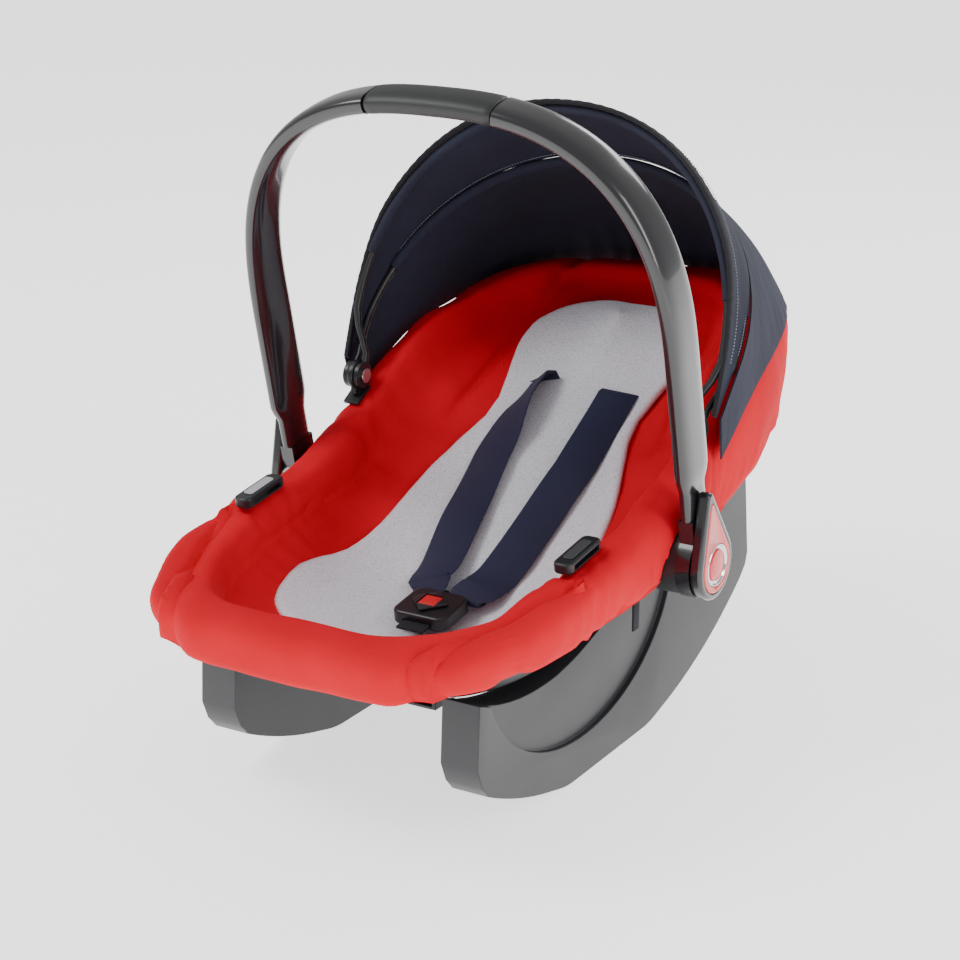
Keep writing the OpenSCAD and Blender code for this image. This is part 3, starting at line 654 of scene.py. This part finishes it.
# ---- handle: gloss black bow with a textured grip, on an eye at each side ----
# The bow is a flat oval tube that leans towards the foot end at rest.
PIVOT = Vector((0, HUB_Y, HUB_Z))
LEAN = math.radians(13)
ARM_X = 197.9
ARCH_W0 = 180
ARCH_TOP = 383
GRIP_A = math.degrees(math.atan(59 / 203))

handle_turn = Matrix.Translation(PIVOT * 0.001) @ Matrix.Rotation(LEAN, 4, "X")
gloss_black = material("GlossBlack", (0.008, 0.008, 0.010), 0.2, coat=0.6)
add_rough(gloss_black, add_noise(gloss_black, 22, 3), 0.16, 0.28)
grip_plastic = material("GripPlastic", (0.016, 0.017, 0.018), 0.48)
add_bump(grip_plastic, add_noise(grip_plastic, 1100, 2), 0.5, 0.00035)


def arch(a):
    c = math.cos(math.radians(a))
    s = math.sin(math.radians(a))
    b = ARCH_TOP - ARCH_W0
    r = ((abs(c) / ARM_X) ** 2.6 + (abs(s) / b) ** 2.6) ** (-1 / 2.6)
    return r * c, ARCH_W0 + r * s


def sweep(name, path, sizes, across=(0, 1, 0), n=40, power=2.6, close=True):
    """A tube along path in the X-Z plane; sizes are half sizes across the path and along `across`."""
    count = len(path)
    pts = [Vector(p) for p in path]
    points = []
    for i in range(count):
        d = (pts[min(i + 1, count - 1)] - pts[max(i - 1, 0)]).normalized()
        out = Vector(across).cross(d).normalized()
        for k in range(n):
            c = math.cos(2 * math.pi * k / n)
            s = math.sin(2 * math.pi * k / n)
            points.append(pts[i] + out * sizes[i][0] * math.copysign(abs(c) ** (2 / power), c)
                          + Vector(across) * sizes[i][1] * math.copysign(abs(s) ** (2 / power), s))
    faces = [(i * n + k, i * n + (k + 1) % n, (i + 1) * n + (k + 1) % n, (i + 1) * n + k)
             for i in range(count - 1) for k in range(n)]
    if close:
        faces += [tuple(range(n)), tuple(range((count - 1) * n, count * n))]
    return mesh_piece(name, points, faces, 60)


def flipped(path):
    return [(-x, y, z) for x, y, z in reversed(path)]


half_path = [(ARM_X - 1, 0, w) for w in (46.4, 60, 70)]
half_path += [(ARM_X - 1 + smooth(70, 84, w), 0, w) for w in span(74, 170, 14)]
half_path += [(arch(a)[0], 0, arch(a)[1]) for a in span(0, 90 - GRIP_A - 0.3, 44)]
half_sizes = []
for x, _, w in half_path:
    lift = max(0, (w - ARCH_W0) / (ARCH_TOP - ARCH_W0))
    thin = 1 - smooth(70, 88, w)
    half_sizes.append((7.5 + 1.2 * lift - 1.4 * thin, (46 - 9 * lift - 12 * thin) / 2))
core_path = [(arch(a)[0], 0, arch(a)[1]) for a in span(90 - GRIP_A, 90, 8)]
path = half_path + core_path
sizes = half_sizes + [(5.5, 11)] * len(core_path)
path = path + flipped(path[:-1])
sizes = sizes + list(reversed(sizes[:-1]))
bow = sweep("HandleBow", path, sizes, power=2.9)
bow.data.transform(handle_turn)
finish(bow, gloss_black, "gloss_black", "handle", "handle_bow")

grip_path = [(arch(a)[0], 0, arch(a)[1]) for a in span(90 - GRIP_A + 0.12, 90 + GRIP_A - 0.12, 40)]
grip_sizes = [(8.2, 17.4)] + [(9.4, 18.6)] * 39 + [(8.2, 17.4)]
grip = sweep("HandleGrip", grip_path, grip_sizes, power=2.5)
grip.data.transform(handle_turn)
finish(grip, grip_plastic, "grip_plastic", "handle", "handle_grip")

for side in ("r", "l"):
    hard_node("handle_eye_" + side, gloss_black)
hard_node("hub_screws", steel)


# ---- hub caps: gloss black teardrops with a red panel, a bright ring and a red push button ----
# The cap is screwed on the outside of the eye. The button slides in the ring.
CAP_X0 = 203.2
CAP_X1 = 214.2
panel_red = material("PanelRed", (0.80, 0.085, 0.075), 0.32, coat=0.35)
add_rough(panel_red, add_noise(panel_red, 40, 2), 0.26, 0.4)
button_red = material("ButtonRed", (0.74, 0.018, 0.024), 0.26, coat=0.5)
add_rough(button_red, add_noise(button_red, 40, 2), 0.2, 0.34)
chrome = material("Chrome", (0.72, 0.72, 0.73), 0.12, metallic=1.0)
add_rough(chrome, add_noise(chrome, 60, 2), 0.08, 0.2)


def teardrop(r, tip, d, n=72):
    """Outline in (Y, Z), tip upwards."""
    a = math.degrees(math.asin((r - tip) / d))
    pts = [(r * math.cos(math.radians(t)), r * math.sin(math.radians(t))) for t in span(180 - a, 360 + a, n)]
    return pts + [(tip * math.cos(math.radians(t)), d + tip * math.sin(math.radians(t)))
                  for t in span(a, 180 - a, 14)]


def circle(r, n=72):
    return [(r * math.cos(2 * math.pi * i / n), r * math.sin(2 * math.pi * i / n)) for i in range(n)]


cap = prism("HubCapR", teardrop(30, 5.5, 62), CAP_X0, CAP_X1)
bevel(cap, 3.2, 5)
cut(cap, prism("Pocket", teardrop(25, 3, 55), CAP_X1 - 2, CAP_X1 + 5))
cut(cap, prism("Bore", circle(18.1), CAP_X0 - 2, CAP_X1 + 5))
smooth_edges(cap)
cap.data.transform(handle_turn)
panel = prism("PanelR", teardrop(23.9, 2.4, 55), CAP_X1 - 1.9, CAP_X1 + 0.7)
bevel(panel, 1.0, 3)
cut(panel, prism("Bore", circle(18.5), CAP_X1 - 8, CAP_X1 + 5))
panel.data.transform(handle_turn)


def turned(name, profile, n=64):
    """A round piece about the X axis from (x, radius) pairs, closed at both ends."""
    points = [(x, r * math.cos(2 * math.pi * i / n), r * math.sin(2 * math.pi * i / n))
              for x, r in profile for i in range(n)]
    count = len(profile)
    faces = [(j * n + i, j * n + (i + 1) % n, (j + 1) % count * n + (i + 1) % n, (j + 1) % count * n + i)
             for j in range(count) for i in range(n)]
    return mesh_piece(name, points, faces, 30)


ring_piece = turned("RingR", [(207.3, 18), (214.6, 18), (215.1, 17.5), (215.1, 16.9), (213.6, 15.6),
                              (213.2, 13.8), (207.3, 13.8)])
ring_piece.data.transform(handle_turn)
button = turned("ButtonR", [(194.6, 4.5), (194.6, 7), (208.3, 7), (208.3, 13.5), (213.6, 13.5),
                            (214.6, 13.2), (215.1, 12.4), (214.7, 11.4), (215.2, 9.4), (215.5, 5),
                            (215.6, 0.05), (208.0, 0.05), (202, 4.5)])
button.data.transform(handle_turn)
caps = {"r": (cap, panel, ring_piece, button)}
caps["l"] = tuple(copy_piece(o, o.name[:-1] + "L", MIRROR) for o in caps["r"])
for side, (a, b, c, d) in caps.items():
    finish(a, gloss_black, "gloss_black", "handle", "hub_cap_" + side)
    finish(b, panel_red, "red_plastic", "handle", "teardrop_panel_" + side)
    finish(c, chrome, "chrome_trim", "handle", "button_ring_" + side)
    finish(d, button_red, "red_plastic", "button_" + side, "release_button_" + side)


# ---- canopy hinges: black clips on the rim, a fixed disc each, with the two bows' eyes on a rivet ----
# The rear bow's eye lies outside the disc and the front bow's eye inside it.
HINGE = Vector((0, 22, rim(22) + 23))
for side in ("r", "l"):
    hard_node("canopy_clip_" + side, satin_black, 0.8)
    hard_node("hinge_rivet_" + side, steel, 0.8)


# ---- canopy bows: two black plastic tubes in channels of the cloth, turning on the hinges ----
# The rear bow leans back 42 degrees and the front bow 21 degrees with the canopy open.
CANOPY_X = 187
BOW_IN = 5.7
FRONT_TILT = 21
REAR_TILT = 42
FRONT_H = 262
REAR_H = 252


def hood(a, grow, h, n=2.1):
    c = math.cos(math.radians(a))
    s = math.sin(math.radians(a))
    b = h + grow - 60
    r = ((abs(c) / (CANOPY_X + grow)) ** n + (abs(s) / b) ** n) ** (-1 / n)
    return r * c, 60 + r * s


def canopy_bow(name, eye_x, h, tilt_deg):
    x = eye_x + 2.5
    leg_path = [(x, 0, 8), (x, 0, 19), (x + (CANOPY_X - BOW_IN - x) * 0.7, 0, 43)]
    path = leg_path + [(hood(a, -BOW_IN, h)[0], 0, hood(a, -BOW_IN, h)[1]) for a in span(0, 90, 40)]
    flat = [(2.4, 3.4), (2.4, 3.4), (3.0, 3.5)] + [(3.6, 3.6)] * 41
    path = path + flipped(path[:-1])
    flat = flat + list(reversed(flat[:-1]))
    obj = sweep(name, path, flat, n=16, power=2.2)
    for s in (1, -1):
        eye = prism(name + "Eye", circle(12, 48), s * eye_x, s * (eye_x + 5))
        cut(eye, prism("Bore", circle(4.1, 32), s * (eye_x - 3), s * (eye_x + 8)))
        bevel(eye, 0.8, 2)
        pick(eye)
        obj.select_set(True)
        bpy.context.view_layer.objects.active = obj
        bpy.ops.object.join()
    obj.data.transform(Matrix.Translation(HINGE * 0.001) @ Matrix.Rotation(math.radians(-tilt_deg), 4, "X"))
    return obj


front_bow = canopy_bow("FrontBow", 159.7, FRONT_H, FRONT_TILT)
rear_bow = canopy_bow("RearBow", 170.9, REAR_H, REAR_TILT)
finish(front_bow, satin_black, "satin_black", "front_bow", "front_bow")
finish(rear_bow, satin_black, "satin_black", "rear_bow", "rear_bow")


# ---- canopy cloth: thin navy fabric over the bows, bound at the front edge, elastic at the hem ----
# The front cloth is stretched between the bows; the rear cloth runs down to the seat's head end.
canopy_navy = material("CanopyNavy", (0.010, 0.012, 0.030), 0.88)
add_ramp(canopy_navy, add_noise(canopy_navy, 12, 3),
         [(0.3, (0.007, 0.009, 0.022)), (0.7, (0.013, 0.016, 0.038))])
add_bump(canopy_navy, add_noise(canopy_navy, 2200, 1), 0.4, 0.0002)
add_bump(canopy_navy, add_noise(canopy_navy, 30, 2, (1, 1, 0.5)), 0.5, 0.005)
binding_black = material("BindingBlack", (0.007, 0.007, 0.011), 0.85)
add_bump(binding_black, add_noise(binding_black, 1900, 1), 0.5, 0.0003)
add_bump(binding_black, add_noise(binding_black, 90, 2), 0.3, 0.001)
thread = material("Thread", (0.30, 0.31, 0.36), 0.8)
add_bump(thread, add_noise(thread, 3000, 1), 0.4, 0.0002)


def tilt(x, h, q):
    r = math.radians(q)
    return x, HINGE.y + h * math.sin(r), HINGE.z + h * math.cos(r)


def hood_row(a, lift, h, q):
    """Point of the cloth at tilt q; a runs over the hood from tip to tip, with a short foot at each end."""
    x, z = hood(min(180, max(0, a)), lift, h)
    if a < 0 or a > 180:
        z = 60 - (60 - 14) * (-a if a < 0 else a - 180) / 10
    return tilt(x, z, q)


def cloth(name, point, rows, thick=1.5, steps=150):
    """A closed sheet; point(a, s, sink) gives its skin, s from the front edge to the rear edge."""
    angles = [-10, -6.5, -3] + span(0, 180, steps) + [183, 186.5, 190]
    n = len(angles)
    points = [point(a, j / rows, sink) for sink in (0, thick) for j in range(rows + 1) for a in angles]
    o = (rows + 1) * n
    faces = []
    for j in range(rows):
        for i in range(n - 1):
            a = j * n + i
            faces.append((a, a + 1, a + n + 1, a + n))
            faces.append((o + a, o + a + n, o + a + n + 1, o + a + 1))
    for j in (0, rows):
        for i in range(n - 1):
            a = j * n + i
            faces.append((a, a + 1, o + a + 1, o + a))
    for i in (0, n - 1):
        for j in range(rows):
            a = j * n + i
            faces.append((a, a + n, o + a + n, o + a))
    return mesh_piece(name, points, faces, 50)


def front_wave(a, s):
    """The cloth sags a little between the bows, with small tucks along both."""
    sag = -3.0 * math.sin(math.pi * s) * math.sin(math.radians(max(0, min(180, a))))
    tucks = 0.7 * math.sin(a * 0.85) * (1 - s) ** 3 * 0.6
    return sag + tucks + 0.5 * noise.noise(Vector((a * 0.05, s * 2, 1)))


def rear_wave(a, s):
    """Gathers where elastic draws the hem in."""
    hem_pull = smooth(0.55, 1.0, s) * 1.6 * math.sin(a * 1.35 + 0.8 * math.sin(a * 0.31))
    soft_fold = 2.4 * noise.noise(Vector((a * 0.035, s * 2.4, 4))) * math.sin(math.pi * min(1, s * 1.1))
    return hem_pull + soft_fold


def near_tip(a):
    return smooth(30, 8, min(a, 180 - a))


def front_skin(a, s, sink):
    lift = front_wave(a, s) - sink - 3.0 * near_tip(a)
    return hood_row(a, lift, FRONT_H + (REAR_H - FRONT_H) * s, 23 + (REAR_TILT - 23.6) * s)


def rear_skin(a, s, sink):
    """From the rear bow down to the hem, which follows the seat's padded edge from hinge to hinge."""
    k = max(0, min(1, 1 - abs(90 - a) / 90 if 0 <= a <= 180 else 0))
    lift = rear_wave(a, s)
    b = Vector(hood_row(a, 1.2 * near_tip(a) - sink, REAR_H, REAR_TILT + 0.6))
    f = 24 + 66 * ((a + 10) / 100 if a <= 90 else (190 - a) / 100)
    u = 0.26 + 0.2 * math.cos(math.radians(f)) ** 2
    e = Vector(edge(f, u, sink - 5, 0)) + Vector((0, 0, 1.5 - sink))
    e.x *= 1 if a <= 90 else -1
    q = math.radians(58)
    bulge = 12 * math.sin(math.pi * s) * math.sin(math.pi / 2 * k) + lift * k
    out = Vector((0, math.sin(q), math.cos(q))) * bulge
    return b * (1 - s) + e * s + out


canopy_front = cloth("CanopyFront", front_skin, 24)
canopy_rear = cloth("CanopyRear", rear_skin, 44)
for obj in (canopy_front, canopy_rear):
    obj.data.materials.append(canopy_navy)
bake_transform(canopy_front)
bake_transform(canopy_rear)
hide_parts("canopy_front")
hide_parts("canopy_rear")


def channel(name, h, tilt_deg, body):
    """The sewn channel that the bow lies in, inside the cloth."""
    line = [(hood(a, -BOW_IN, h)[0], 0, hood(a, -BOW_IN, h)[1]) for a in span(16, 164, 110)]
    obj = sweep(name, line, [(4.2, 5.6)] * len(line), n=20, power=2.0)
    relief(obj, lambda p, n: 0.35 * noise.noise(p * 60), lambda p, n: 1)
    obj.data.transform(Matrix.Translation(HINGE * 0.001) @ Matrix.Rotation(math.radians(-tilt_deg), 4, "X"))
    finish(obj, canopy_navy, "canopy_fabric", body)


def stitches(name, place, turns, body, slot):
    """A row of short raised stitches along a line of points."""
    points = []
    faces = []
    marks = [Vector(place(t)) for t in turns]
    for i in range(0, len(marks) - 1, 2):
        a, b = marks[i], marks[i + 1]
        d = (b - a).normalized()
        side = d.cross(Vector((0.3, 0.2, 1))).normalized() * 0.45
        up = d.cross(side).normalized() * 0.45
        base = len(points)
        for end in (a, b):
            points += [end + side, end + up, end - side, end - up]
        faces += [(base + k, base + (k + 1) % 4, base + 4 + (k + 1) % 4, base + 4 + k) for k in range(4)]
        faces += [(base, base + 1, base + 2, base + 3), (base + 4, base + 5, base + 6, base + 7)]
    obj = mesh_piece(name, points, faces)
    finish(obj, thread, slot, body)
    return obj


channel("RearChannel", REAR_H, REAR_TILT, "rear_bow")
channel("FrontChannel", FRONT_H, FRONT_TILT, "front_bow")
stitches("ChannelStitches", lambda a: hood_row(a, -2.5, REAR_H - 0.5, REAR_TILT - 2.0), span(4, 176, 420),
         "rear_bow", "canopy_fabric")
stitches("EdgeStitches", lambda a: hood_row(a, 0.6, FRONT_H - 0.6, 24.6), span(0, 180, 420), "front_bow",
         "canopy_fabric")


def binding_point(a, k):
    """The padded front edge: a flattened roll round the cloth's edge, k runs round it."""
    c = math.cos(2 * math.pi * k / 20)
    s = math.sin(2 * math.pi * k / 20)
    q = 20.3 + 2.2 * math.copysign(abs(c) ** 0.8, c)
    lift = -0.4 - 3.2 * near_tip(a) + 2.2 * math.copysign(abs(s) ** 0.9, s) + 0.25 * math.sin(a * 2.1)
    x, z = hood(min(180, max(0, a)), lift, FRONT_H)
    if a < 0 or a > 180:
        z = 60 - (60 - 14) * (-a if a < 0 else a - 180) / 10
    return tilt(x, z, q)


angles = [-10, -6, -3] + span(0, 180, 170) + [183, 186, 190]
points = [binding_point(a, k) for a in angles for k in range(20)]
faces = [(i * 20 + k, i * 20 + (k + 1) % 20, (i + 1) * 20 + (k + 1) % 20, (i + 1) * 20 + k)
         for i in range(len(angles) - 1) for k in range(20)]
faces += [tuple(range(20)), tuple(range((len(angles) - 1) * 20, len(angles) * 20))]
binding = mesh_piece("CanopyBinding", points, faces, 60)
finish(binding, binding_black, "binding_fabric", "front_bow", "canopy_binding")


# ---- harness: two navy webbing straps from slots in the back-rest to the buckle ----
# They lie on the insert and end in two black tongues; the left strap has slipped and lies folded.
STRAP_W = 38
STRAP_T = 2.0

webbing = material("Webbing", (0.010, 0.014, 0.062), 0.6)
tree = webbing.node_tree
where = tree.nodes.new("ShaderNodeUVMap")
ribs = tree.nodes.new("ShaderNodeTexWave")
ribs.inputs["Scale"].default_value = 60
ribs.wave_type = "BANDS"
ribs.bands_direction = "DIAGONAL"
tree.links.new(where.outputs["UV"], ribs.inputs["Vector"])
add_ramp(webbing, ribs.outputs["Fac"], [(0.2, (0.005, 0.007, 0.030)), (0.8, (0.014, 0.019, 0.075))])
add_bump(webbing, ribs.outputs["Fac"], 0.5, 0.0003)
add_bump(webbing, add_noise(webbing, 1500, 2), 0.4, 0.0003)


def webbing_strip(name, line, full, thick, widths=None):
    """line lists (x, y, z, twist in degrees) of the strip's middle."""
    pts = [Vector(p[:3]) for p in line]
    n = len(pts)
    points = []
    rows = [(-0.5, 0.3), (-0.46, 0), (0.46, 0), (0.5, 0.3), (0.5, 0.7), (0.46, 1), (0.2, 1), (-0.2, 1),
            (-0.46, 1), (-0.5, 0.7)]
    across = (pts[1] - pts[0]).cross(Vector((0, 0, 1))).normalized()
    for i, p in enumerate(pts):
        d = (pts[min(i + 1, n - 1)] - pts[max(i - 1, 0)]).normalized()
        across = (across - d * across.dot(d)).normalized()
        side = across.copy()
        side.rotate(Matrix.Rotation(math.radians(line[i][3]), 3, d))
        width = widths[i] if widths else full
        up = side.cross(d).normalized()
        for a, b in rows:
            points.append(p + side * a * width + up * (b * thick))
    m = len(rows)
    faces = [(i * m + k, i * m + (k + 1) % m, (i + 1) * m + (k + 1) % m, (i + 1) * m + k)
             for i in range(n - 1) for k in range(m)]
    faces += [tuple(range(m)), tuple(range((n - 1) * m, n * m))]
    obj = mesh_piece(name, points, faces, 50)
    uv = obj.data.uv_layers.new(name="UVMap")
    length = [0]
    for a, b in zip(pts, pts[1:]):
        length.append(length[-1] + (b - a).length)
    for poly in obj.data.polygons:
        for corner in poly.loop_indices:
            v = obj.data.loops[corner].vertex_index
            uv.data[corner].uv = (rows[v % m][0] * full / 38, length[v // m] / 38)
    return obj


STRAP_LIFT = [(-88, 16), (-60, 12), (0, 9), (60, 7), (125, 4)]


def strap_line(side):
    """The strap from its loop round the tongue's bar up to the slot in the back-rest."""
    line = [(17.4, -86, 128.4, 0), (17.4, -92, 128.2, 0), (17.4, -97, 128.4, 0), (17.4, -100, 130, 0),
            (17.5, -101, 133, 0), (17.7, -99.5, 136, 0), (18.4, -96, 138.2, 0), (20.5, -91, 140.2, 0)]
    widths = [29, 29, 29, 29, 29.5, 30, 32, 35]
    for y in span(-84, 126, 60):
        s = (y + 84) / 210
        lift = at(STRAP_LIFT, y) + 4 * math.exp(-((y + 84) / 14) ** 2)
        twist = 0.0
        x = 26 + 16 * min(1, s * 1.6)
        if side < 0:
            lift += 7 * math.exp(-((y - 92) / 24) ** 2) + 2.5 * math.exp(-((y + 20) / 22) ** 2)
            twist = 34 * smooth(50, 112, y) - 12 * math.exp(-((y + 20) / 40) ** 2)
        else:
            lift += 2.5 * math.exp(-((y - 30) / 40) ** 2)
            twist = -6 * smooth(60, 120, y)
        line.append((x, y, keel(y) + 36.4 + lift, twist))
        widths.append(38)
    x, _, z, twist = line[-1]
    line += [(x, 131, z + 0.6, twist * 0.7), (x, 135, z - 3, twist * 0.4), (x, 137, z - 9, twist * 0.2)]
    return [(side * p[0], p[1], p[2], side * p[3]) for p in line], widths + [38, 38, 38]


for side, sign in (("r", 1), ("l", -1)):
    line, widths = strap_line(sign)
    strap = webbing_strip("Strap" + side.upper(), line, STRAP_W, STRAP_T, widths)
    finish(strap, webbing, "webbing", "root", "harness_strap_" + side)


# ---- buckle: black body with a raised diamond frame round a square red button ----
# A crotch strap holds it from below. Two flat tongues sit in its upper end.
BUCKLE = Vector((0, -122, keel(-122) + 34.2 + 12))
buckle_turn = Matrix.Translation(BUCKLE * 0.001) @ Matrix.Rotation(math.radians(8), 4, "X")


def block(name, x0, x1, y0, y1, z0, z1, round_mm=0.0, segments=3):
    """A box made from the cube primitive, shaped in edit mode."""
    bpy.ops.object.select_all(action="DESELECT")
    bpy.ops.mesh.primitive_cube_add(size=0.001)
    obj = bpy.context.active_object
    obj.name = name
    obj.data.name = name
    bpy.ops.object.mode_set(mode="EDIT")
    bpy.ops.mesh.select_all(action="SELECT")
    bpy.ops.transform.resize(value=(x1 - x0, y1 - y0, z1 - z0))
    bpy.ops.transform.translate(value=((x0 + x1) / 2000, (y0 + y1) / 2000, (z0 + z1) / 2000))
    bpy.ops.object.mode_set(mode="OBJECT")
    if round_mm:
        bevel(obj, round_mm, segments)
    return obj


def rounded_slab(name, w, length, z0, z1, r, soft_edge):
    pts = []
    for cx, cy, a0 in ((1, 1, 0), (-1, 1, 90), (-1, -1, 180), (1, -1, 270)):
        for a in span(a0, a0 + 90, 8):
            pts.append((cx * (w / 2 - r) + r * math.cos(math.radians(a)),
                        cy * (length / 2 - r) + r * math.sin(math.radians(a))))
    n = len(pts)
    points = [(x, y, z) for z in (z0, z1) for x, y in pts]
    faces = [tuple(range(n)), tuple(range(2 * n - 1, n - 1, -1))]
    faces += [(i, (i + 1) % n, n + (i + 1) % n, n + i) for i in range(n)]
    obj = mesh_piece(name, points, faces, 35)
    bevel(obj, soft_edge, 4)
    return obj


body = rounded_slab("BuckleBody", 52, 46, 0, 13, 9, 2.4)
cut(body, block("Well", -8.75, 8.75, -8.75, 8.75, 7, 20))
for x in (-12, 12):
    cut(body, block("Slot", x - 7, x + 7, 8, 38, 3, 7))
cut(body, block("Slot", -14, 14, -26, -12, 3, 7))
smooth_edges(body)
body.data.transform(buckle_turn)
finish(body, satin_black, "satin_black", "root", "buckle_body")

frame_piece = block("BuckleFrame", -12.5, 12.5, -12.5, 12.5, 13.1, 16.1, 1.2)
frame_piece.data.transform(Matrix.Rotation(math.radians(45), 4, "Z"))
cut(frame_piece, block("Well", -8.75, 8.75, -8.75, 8.75, 10, 20))
smooth_edges(frame_piece)
frame_piece.data.transform(buckle_turn)
finish(frame_piece, satin_black, "satin_black", "root", "buckle_frame")

press = block("BuckleButton", -8.5, 8.5, -8.5, 8.5, 10, 15.4, 1.2, 4)
press.data.transform(buckle_turn)
finish(press, button_red, "red_plastic", "buckle_button", "buckle_button")

tongue = block("TongueR", 5.5, 18.5, 8.5, 30.5, 3.5, 6.5, 0.6, 2)
bar = block("TongueBar", 2, 32, 24.5, 34.5, 2.5, 7.5, 1.8, 4)
pick(bar)
tongue.select_set(True)
bpy.context.view_layer.objects.active = tongue
bpy.ops.object.join()
tongue_l = copy_piece(tongue, "TongueL", MIRROR)
for obj, node in ((tongue, "buckle_tongue_r"), (tongue_l, "buckle_tongue_l")):
    obj.data.transform(buckle_turn)
    finish(obj, satin_black, "satin_black", "root", node)

crotch = block("CrotchStrap", -13, 13, -35, -13, 3.6, 6.0, 0.7, 2)
crotch.data.transform(buckle_turn)
finish(crotch, binding_black, "binding_fabric", "root", "crotch_strap")


# ---- adjuster: steel yoke behind the back-rest, one strap to a cam adjuster under the front ----
# The parts are seen only from below or behind.
hard_node("harness_yoke", steel, 0.5)
hard_node("adjuster_body", satin_black, 0.8)
grey_plastic = material("GreyPlastic", (0.46, 0.47, 0.49), 0.45)
add_bump(grey_plastic, add_noise(grey_plastic, 1500, 2), 0.2, 0.0001)
hard_node("adjuster_lever", grey_plastic, 0.6)
marks = [(-98, 59), (-50, keel(-50) - 16), (20, keel(20) - 20), (90, keel(90) - 36)]
line = [(0, y, at(marks, y), 0) for y in span(-98, 90, 40)]
pull = webbing_strip("AdjusterStrap", line, 26, 1.8)
finish(pull, webbing, "webbing", "root", "adjuster_strap")


# ---- lap-belt guides: black slotted pieces on the rim, each with a small grey plate ----
# The vehicle's lap belt passes through the slot.
slope = math.atan((rim(-130) - rim(-170)) / 40)
guide = rounded_slab("BeltGuideR", 17, 54, 0, 9.4, 6, 1.8)
cut(guide, block("Slot", -20, 20, -20, 20, 2.4, 7.0))
smooth_edges(guide)
plate = rounded_slab("GuidePlateR", 9, 34, 9.5, 10.5, 3, 0.4)
place = Matrix.Translation(Vector((153, -150, rim(-150) + 1.5)) * 0.001) @ Matrix.Rotation(slope, 4, "X")
for obj in (guide, plate):
    obj.data.transform(place)
guide_l = copy_piece(guide, "BeltGuideL", MIRROR)
plate_l = copy_piece(plate, "GuidePlateL", MIRROR)
finish(guide, satin_black, "satin_black", "root", "belt_guide_r")
finish(guide_l, satin_black, "satin_black", "root", "belt_guide_l")
# The right plate takes a much darker grey than the left one. This is painted shade on the near plate, not a
# colour of its own.
painted_shade_plate = material("DarkPlate", (0.05, 0.052, 0.056), 0.4)
add_bump(painted_shade_plate, add_noise(painted_shade_plate, 1500, 2), 0.2, 0.0001)
finish(plate, painted_shade_plate, "grey_plastic", "root", "guide_plate_r")
finish(plate_l, grey_plastic, "grey_plastic", "root", "guide_plate_l")


# ---- hem straps and tab: black elastic ends under the hem and a plain yellow tab by the canopy ----
# The elastic hooks the cover under the shell's rim; the tab is sewn into the side seam.
tab_yellow = material("TabYellow", (0.80, 0.62, 0.02), 0.7)
add_bump(tab_yellow, add_noise(tab_yellow, 2000, 1), 0.3, 0.0002)
for side, sign in (("r", 1), ("l", -1)):
    x = sign * 169
    z = hem(-84)
    strip = block("HemStrap" + side.upper(), x - 1, x + 1, -84.5, -74.5, z - 26, z - 1, 0.6, 2)
    finish(strip, binding_black, "binding_fabric", "root", "cover_strap_" + side)
tab = block("CoverTab", 158, 158.8, 96, 106, rim(106) + 1, rim(106) + 19, 0.3, 2)
finish(tab, tab_yellow, "tab_fabric", "root", "cover_tab")


# ---- studio: pale floor, soft light from above and both sides, camera at the front right ----
bpy.ops.mesh.primitive_plane_add(size=60)
floor = bpy.context.active_object
floor.name = "Floor"
paper = material("Paper", (0.86, 0.86, 0.86), 0.7)
shader_of(paper).inputs["Emission Color"].default_value = (1, 1, 1, 1)
shader_of(paper).inputs["Emission Strength"].default_value = 1.5
add_rough(paper, add_noise(paper, 3, 2), 0.62, 0.72)
floor.data.materials.append(paper)

world = bpy.data.worlds.new("Studio")
bpy.context.scene.world = world
world.use_nodes = True
world.node_tree.nodes["Background"].inputs["Color"].default_value = (1, 1, 1, 1)
world.node_tree.nodes["Background"].inputs["Strength"].default_value = 0.62


def lamp(name, where, aim, width, height, power):
    data = bpy.data.lights.new(name, "AREA")
    data.shape = "RECTANGLE"
    data.size = width
    data.size_y = height
    data.energy = power
    obj = bpy.data.objects.new(name, data)
    bpy.context.scene.collection.objects.link(obj)
    obj.location = where
    obj.rotation_euler = (Vector(aim) - Vector(where)).to_track_quat("-Z", "Y").to_euler()
    return obj


lamp("Key", (-1.4, -1.2, 2.2), (0, 0, 0.2), 1.2, 1.2, 38)
lamp("Side", (2.4, -0.4, 1.2), (0, 0, 0.25), 0.7, 1.6, 22)
lamp("Back", (0.3, 2.4, 1.8), (0, 0, 0.3), 1.6, 0.8, 24)

camera_data = bpy.data.cameras.new("Camera")
camera_data.lens = 88.09
camera_data.sensor_width = 36
camera = bpy.data.objects.new("Camera", camera_data)
bpy.context.scene.collection.objects.link(camera)
az = math.radians(30.9)
el = math.radians(18.3)
back = Vector((math.sin(az) * math.cos(el), -math.cos(az) * math.cos(el), math.sin(el)))
aim = Vector((-0.002, -0.040, 0.220))
camera.location = aim + back * 2.0
camera.rotation_euler = back.to_track_quat("Z", "Y").to_euler()
bpy.context.scene.camera = camera
